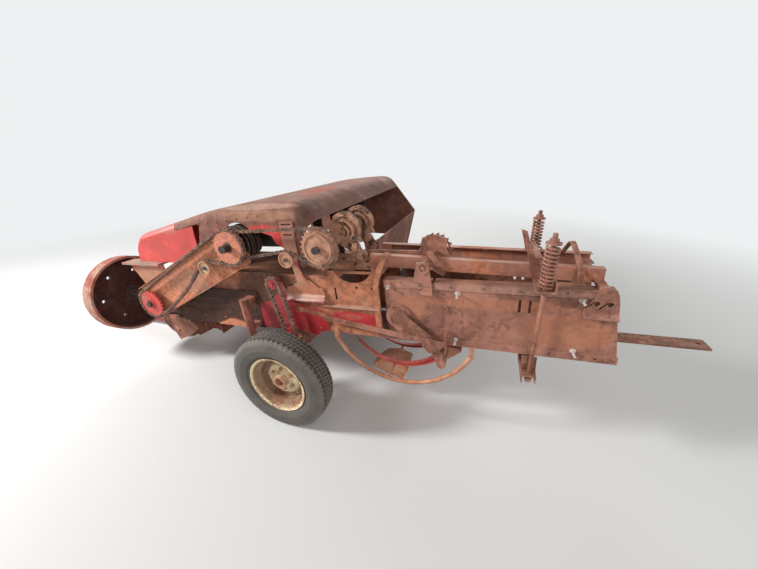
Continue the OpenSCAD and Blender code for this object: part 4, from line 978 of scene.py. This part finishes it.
class BALER_OT_chains(bpy.types.Operator):
    """Lays the three roller chains link by link round their wheels"""

    bl_idname = "baler.chains"
    bl_label = "Roller Chains"

    def execute(self, context):
        sizes = context.scene.baler_sizes
        material = bpy.data.materials["iron_chain"]
        tree = link_tree(material)
        for name, (wheels, y, width) in CHAINS.items():
            pins = chain_pins(wheels)
            # Every second link is narrower and sits inside its neighbours
            halves = []
            for odd in (0, 1):
                rows = []
                for k in range(odd, len(pins), 2):
                    a, b = pins[k], pins[(k + 1) % len(pins)]
                    middle = (a + b) / 2
                    ahead = (b - a).normalized()
                    facing = FORWARD * ahead.x + UP * ahead.y
                    rows.append((at(middle.x, y, middle.y), facing, 1))
                mesh = points_mesh(f"{name}_links_{odd}", rows)
                halves.append(grow(f"{name}_links_{odd}", tree, mesh, {
                    "Width": width / 1000, "Plate": sizes.link_plate,
                    "Roller": sizes.roller_radius, "Inner": sizes.link_plate * odd}))
            mesh = merged(f"{name}_roller_chain", halves)
            settle(f"{name}_roller_chain", mesh, material, "chassis", False,
                   (f"{name}_chain",))
        return {"FINISHED"}


def merged(name, meshes):
    """Several meshes as one."""
    work = bmesh.new()
    for mesh in meshes:
        work.from_mesh(mesh)
    result = bpy.data.meshes.new(name)
    work.to_mesh(result)
    work.free()
    return result


# Where each tension rod stands in the machine's own millimetres, how far it leans back,
# and how far its spring starts above the edge angles
ROD = (-1509, 272)
ROD_LEAN = math.radians(2.8)
SPRING_SEAT = 8.3
# The spring: how far its wire's middle starts above the seat, its turns and its height, in
# metres, and how finely it is drawn
SPRING_START = 0.0045
SPRING_TURNS = 11.0
SPRING_HEIGHT = 0.211
COIL_STEPS = 28
WIRE_SIDES = 12


class BALER_OT_springs(bpy.types.Operator):
    """Winds the two tension springs from round wire"""

    bl_idname = "baler.springs"
    bl_label = "Tension Springs"

    def execute(self, context):
        sizes = context.scene.baler_sizes
        material = bpy.data.materials["rust_tension"]
        tree = self.coil_tree(material)
        coils = []
        for side in (-1, 1):
            mesh = grow(f"coil_{side}", tree, points_mesh("seed", [(Vector(), UP, 1)]), {
                "Radius": sizes.spring_radius, "Wire": sizes.wire_radius})
            stand = Matrix.Translation(at(ROD[0], side * ROD[1], ROOF_Z + SPRING_SEAT))
            mesh.transform(stand @ Matrix.Rotation(TILT - ROD_LEAN, 4, "Y"))
            coils.append(mesh)
        settle("wound_springs", merged("wound_springs", coils), material, "chassis",
               True, ("tension_springs",))
        return {"FINISHED"}

    def coil_tree(self, material):
        """One spring of round wire that stands on the origin."""
        graph, size = geometry_tree("coil", [
            ("Radius", 0.027), ("Wire", 0.006), ("Height", SPRING_HEIGHT),
            ("Turns", SPRING_TURNS), ("Start", SPRING_START)])
        path = graph.node("GeometryNodeCurveSpiral", {}, {
            "Resolution": COIL_STEPS, "Rotations": size["Turns"],
            "Start Radius": size["Radius"], "End Radius": size["Radius"],
            "Height": size["Height"]})
        ring = graph.node("GeometryNodeCurvePrimitiveCircle", {"mode": "RADIUS"},
                          {"Resolution": WIRE_SIDES, "Radius": size["Wire"]})
        wire = graph.node("GeometryNodeCurveToMesh", {}, {
            "Curve": path, "Profile Curve": ring, "Fill Caps": True})
        raised = graph.node("GeometryNodeTransform", {}, {
            "Geometry": wire, "Translation": vector_of(graph, Z=size["Start"])})
        return close_tree(graph, raised, material)


# Rows of bolts in the left side, in the machine's own millimetres:
# (first place, last place, how many, size against a 19 mm head)
LEFT_ROWS = [
    ((-1740, ANGLE_Y, 618), (-720, ANGLE_Y, 618), 7, 0.75),
    ((-1800, ANGLE_Y, 265), (-700, ANGLE_Y, 265), 6, 0.75),
    ((-1036, WALL_Y, 551), (-1036, WALL_Y, 495), 2, 0.7),
    ((-780, WALL_Y, 438), (-748, WALL_Y, 374), 2, 0.9),
    ((-620, ANGLE_Y, 262), (1080, ANGLE_Y, 262), 9, 0.8),
    ((-40, WALL_Y, 618), (1080, WALL_Y, 618), 6, 0.7),
]
# The rows that start behind this place are on the right side too
BOTH_SIDES_X = -100
HOOD_RIVETS = [
    ((640, HOOD_Y, 985), (120, HOOD_Y, 1030), 7, 1.0),
    ((860, HOOD_Y, 952), (730, HOOD_Y, 978), 3, 1.0),
]
# Rings of heads, in metres: (place along the axle, radius, how many, size, first turn)
LUG_NUTS = (-0.004, 0.079, 6, 1.15, 0.3)
FLYWHEEL_BOLTS = (0.11, 0.085, 4, 1.2)
# Height of a lug nut, and how far its stud stands out, in metres
LUG_NUT_HEIGHT = 0.012
LUG_STUD = 0.012
# Long plated studs that stand out of the chamber's side: (x, z, length) in millimetres
STUDS = [(-1098, 580, 52), (-1682, 585, 46), (-1681, 292, 50), (-1090, 280, 44),
         (-704, 600, 30)]
STUD_NUT_RADIUS = 0.0105
STUD_WASHER_REACH = 0.5


def rows_of(rows, side=1):
    """Places of several rows of heads, on the left side or, with -1, on the right."""
    points = []
    for first, last, count, size in rows:
        ends = [(x, y * side, z) for x, y, z in (first, last)]
        points += row_of(*ends, count, LEFT * side, size)
    return points


def set_heads(name, tree, places, values, metal, body, smooth=False):
    """Grows a head on each place and settles them as one piece."""
    mesh = grow(name, tree, points_mesh(name + "_places", places), values)
    settle(name, mesh, metal, body, smooth)


class BALER_OT_fasteners(bpy.types.Operator):
    """Sets the hexagon bolts, lug nuts and rivets on the panels and wheels"""

    bl_idname = "baler.fasteners"
    bl_label = "Fasteners"

    def execute(self, context):
        c = context.scene.baler_colours
        reach = {"Washer Reach": context.scene.baler_sizes.washer_share}
        bolt_metal = weathered("rust_bolts", c.rust_mauve, c.rust_brown, 0.5, size=30,
                               dusty=0.4)
        nut_metal = weathered("rust_nuts", shade(c.cream, 0.7), c.tan, 0.6, size=40,
                              dusty=0.3)
        rivet_metal = weathered("paint_rivets", c.faded_red, c.rust_brown, 0.55, size=30,
                                dusty=0.6)
        bolt, nut = fastener_tree(bolt_metal), fastener_tree(nut_metal)
        right_rows = [row for row in LEFT_ROWS if row[0][0] < BOTH_SIDES_X]
        bolts = rows_of(LEFT_ROWS) + rows_of(right_rows, -1)
        set_heads("panel_bolts", bolt, bolts, reach, bolt_metal, "chassis")
        set_heads("hood_rivets", rivet_tree(rivet_metal), rows_of(HOOD_RIVETS), {},
                  rivet_metal, "chassis", True)
        nut_sizes = {**reach, "Stud Length": LUG_STUD, "Head Height": LUG_NUT_HEIGHT}
        for side, centre, axis in (("left", LEFT_WHEEL, LEFT), ("right", RIGHT_WHEEL, -LEFT)):
            set_heads(side + "_lug_nuts", nut, ring_of(centre, axis, *LUG_NUTS), nut_sizes,
                      nut_metal, side + "_wheel")
        set_heads("flywheel_bolts", bolt, ring_of(FLYWHEEL, FORWARD, *FLYWHEEL_BOLTS), reach,
                  bolt_metal, "flywheel")
        return {"FINISHED"}


class BALER_OT_studs(bpy.types.Operator):
    """Sets the long plated studs in the chamber's side"""

    bl_idname = "baler.studs"
    bl_label = "Chamber Studs"

    def execute(self, context):
        c = context.scene.baler_colours
        zinc = weathered("zinc_studs", c.zinc, c.tan, 0.3, size=50, rough=0.35, dusty=0.3)
        tree = fastener_tree(zinc)
        parts = []
        for x, z, length in STUDS:
            mesh = points_mesh("stud_place", [(at(x, WALL_Y, z), LEFT, 1.0)])
            parts.append(grow("stud", tree, mesh, {
                "Stud Length": length / 1000, "Head Radius": STUD_NUT_RADIUS,
                "Washer Reach": STUD_WASHER_REACH}))
        settle("chamber_studs", merged("chamber_studs", parts), zinc, "chassis",
               False)
        return {"FINISHED"}


# Each lamp: its place and its width in metres, and its share of the main light's strength
LAMPS = [((5.6, 3.6, 4.2), 1.3, 1.0), ((-5.0, 5.0, 5.0), 5.0, 0.3),
         ((0.5, -6.0, 5.0), 5.0, 0.35)]
FILL_COLOUR = (1.0, 0.985, 0.96, 1)
# Half width of the floor, and the distances between which it fades into the backdrop
FLOOR_HALF = 30.0
FLOOR_FADE = (3.2, 8.0)
# The camera, from the machine's own origin and axes: its place in metres, its turns to the
# side, down and over in radians, and its focal length in pixels of a picture this wide
CAMERA_PLACE = (-1.2551, 1.7756, 1.3059)
CAMERA_TURNS = (0.3774, 0.3989, 0.0951)
FOCAL_PIXELS = 303.66
PICTURE_WIDTH = 758
SENSOR_WIDTH = 36.0
NEAREST = 0.02


class BALER_OT_stage(bpy.types.Operator):
    """Sets the floor, the soft lights, the backdrop and the camera"""

    bl_idname = "baler.stage"
    bl_label = "Stage"

    def execute(self, context):
        settings = context.scene.baler_stage
        self.make_floor(settings)
        for place, size, share in LAMPS:
            light = bpy.data.lights.new("softbox", "AREA")
            light.shape = "DISK"
            light.size = size
            light.energy = settings.key * share
            lamp = bpy.data.objects.new("softbox", light)
            lamp.location = place
            lamp.rotation_euler = Vector(place).to_track_quat("Z", "Y").to_euler()
            context.scene.collection.objects.link(lamp)
        self.make_world(settings)
        self.make_camera(context.scene)
        return {"FINISHED"}

    def make_floor(self, settings):
        mesh = bpy.data.meshes.new("floor")
        corners = [(x * FLOOR_HALF, y * FLOOR_HALF, 0)
                   for x, y in ((-1, -1), (1, -1), (1, 1), (-1, 1))]
        mesh.from_pydata(corners, [], [(0, 1, 2, 3)])
        floor = bpy.data.objects.new("floor", mesh)
        bpy.context.scene.collection.objects.link(floor)
        mesh.materials.append(self.floor_paint(settings))

    def floor_paint(self, settings):
        """Plain paint that fades into the backdrop far away, for the camera only."""
        shader = Shader("floor_paint")
        shader.finish(settings.floor, 0.9)
        paint = Value(shader, shader.output.inputs["Surface"].links[0].from_socket)
        away = shader.measure("LENGTH", shader.place)
        seen = shader.node("ShaderNodeLightPath", {}, {}, "Is Camera Ray")
        faded = away.step(*FLOOR_FADE) * seen
        glow = shader.node("ShaderNodeEmission", {}, {"Color": (*settings.sky, 1)})
        mixed = shader.node("ShaderNodeMixShader", {}, {0: faded, 1: paint, 2: glow})
        shader.tree.links.new(mixed.socket, shader.output.inputs["Surface"])
        return shader.material

    def make_world(self, settings):
        """Soft light all round, with the backdrop for the camera, metal and glass."""
        world = bpy.data.worlds.new("studio")
        bpy.context.scene.world = world
        world.use_nodes = True
        graph = Graph(world.node_tree)
        graph.tree.nodes.clear()
        rays = graph.node("ShaderNodeLightPath", {}, {})
        outputs = rays.socket.node.outputs
        seen = Value(graph, outputs["Is Camera Ray"])
        for name in ("Is Glossy Ray", "Is Transmission Ray"):
            seen = seen.larger(Value(graph, outputs[name]))
        light = graph.node("ShaderNodeBackground", {},
                           {"Color": FILL_COLOUR, "Strength": settings.fill})
        backdrop = graph.node("ShaderNodeBackground", {},
                              {"Color": (*settings.sky, 1), "Strength": 1.0})
        mixed = graph.node("ShaderNodeMixShader", {}, {0: seen, 1: light, 2: backdrop})
        output = graph.tree.nodes.new("ShaderNodeOutputWorld")
        graph.tree.links.new(mixed.socket, output.inputs["Surface"])

    def make_camera(self, scene):
        data = bpy.data.cameras.new("camera")
        data.sensor_width = SENSOR_WIDTH
        data.lens = SENSOR_WIDTH * FOCAL_PIXELS / PICTURE_WIDTH
        data.clip_start = NEAREST
        camera = bpy.data.objects.new("camera", data)
        level = self.look(Vector(CAMERA_PLACE), *CAMERA_TURNS)
        turn = Matrix.Rotation(TILT, 4, "Y")
        camera.matrix_world = Matrix.Translation(ORIGIN) @ turn @ level
        scene.collection.objects.link(camera)
        scene.camera = camera
        scene.view_settings.view_transform = "Standard"

    def look(self, place, yaw, pitch, roll):
        """A camera's placing from its turns, on the machine's own axes."""
        level = math.cos(pitch)
        forward = Vector((math.sin(yaw) * level, -math.cos(yaw) * level, -math.sin(pitch)))
        side = forward.cross(Vector((0, 0, 1))).normalized()
        down = forward.cross(side)
        right = math.cos(roll) * side + math.sin(roll) * down
        low = -math.sin(roll) * side + math.cos(roll) * down
        turn = Matrix((right, -low, -forward)).transposed()
        return Matrix.Translation(place) @ turn.to_4x4()


STEPS = (BALER_OT_finishes, BALER_OT_tyres, BALER_OT_chains, BALER_OT_springs,
         BALER_OT_fasteners, BALER_OT_studs, BALER_OT_stage)
SETTINGS = {"baler_colours": BalerColours, "baler_sizes": BalerSizes,
            "baler_stage": BalerStage}


class BALER_PT_steps(bpy.types.Panel):
    """Lists the baler's pieces and sizes"""

    bl_idname = "BALER_PT_steps"
    bl_label = "Square Baler"
    bl_space_type = "VIEW_3D"
    bl_region_type = "UI"
    bl_category = "Baler"

    def draw(self, context):
        for step in STEPS:
            self.layout.operator(step.bl_idname)
        for name, group in SETTINGS.items():
            settings = getattr(context.scene, name)
            box = self.layout.box()
            for key in group.__annotations__:
                box.prop(settings, key)


CLASSES = (*SETTINGS.values(), *STEPS, BALER_PT_steps)


def register():
    for cls in CLASSES:
        bpy.utils.register_class(cls)
    for name, group in SETTINGS.items():
        setattr(bpy.types.Scene, name, bpy.props.PointerProperty(type=group))


def unregister():
    for name in SETTINGS:
        delattr(bpy.types.Scene, name)
    for cls in reversed(CLASSES):
        bpy.utils.unregister_class(cls)


def main():
    register()
    for step in STEPS:
        group, name = step.bl_idname.split(".")
        getattr(getattr(bpy.ops, group), name)()


if __name__ == "__main__":
    main()
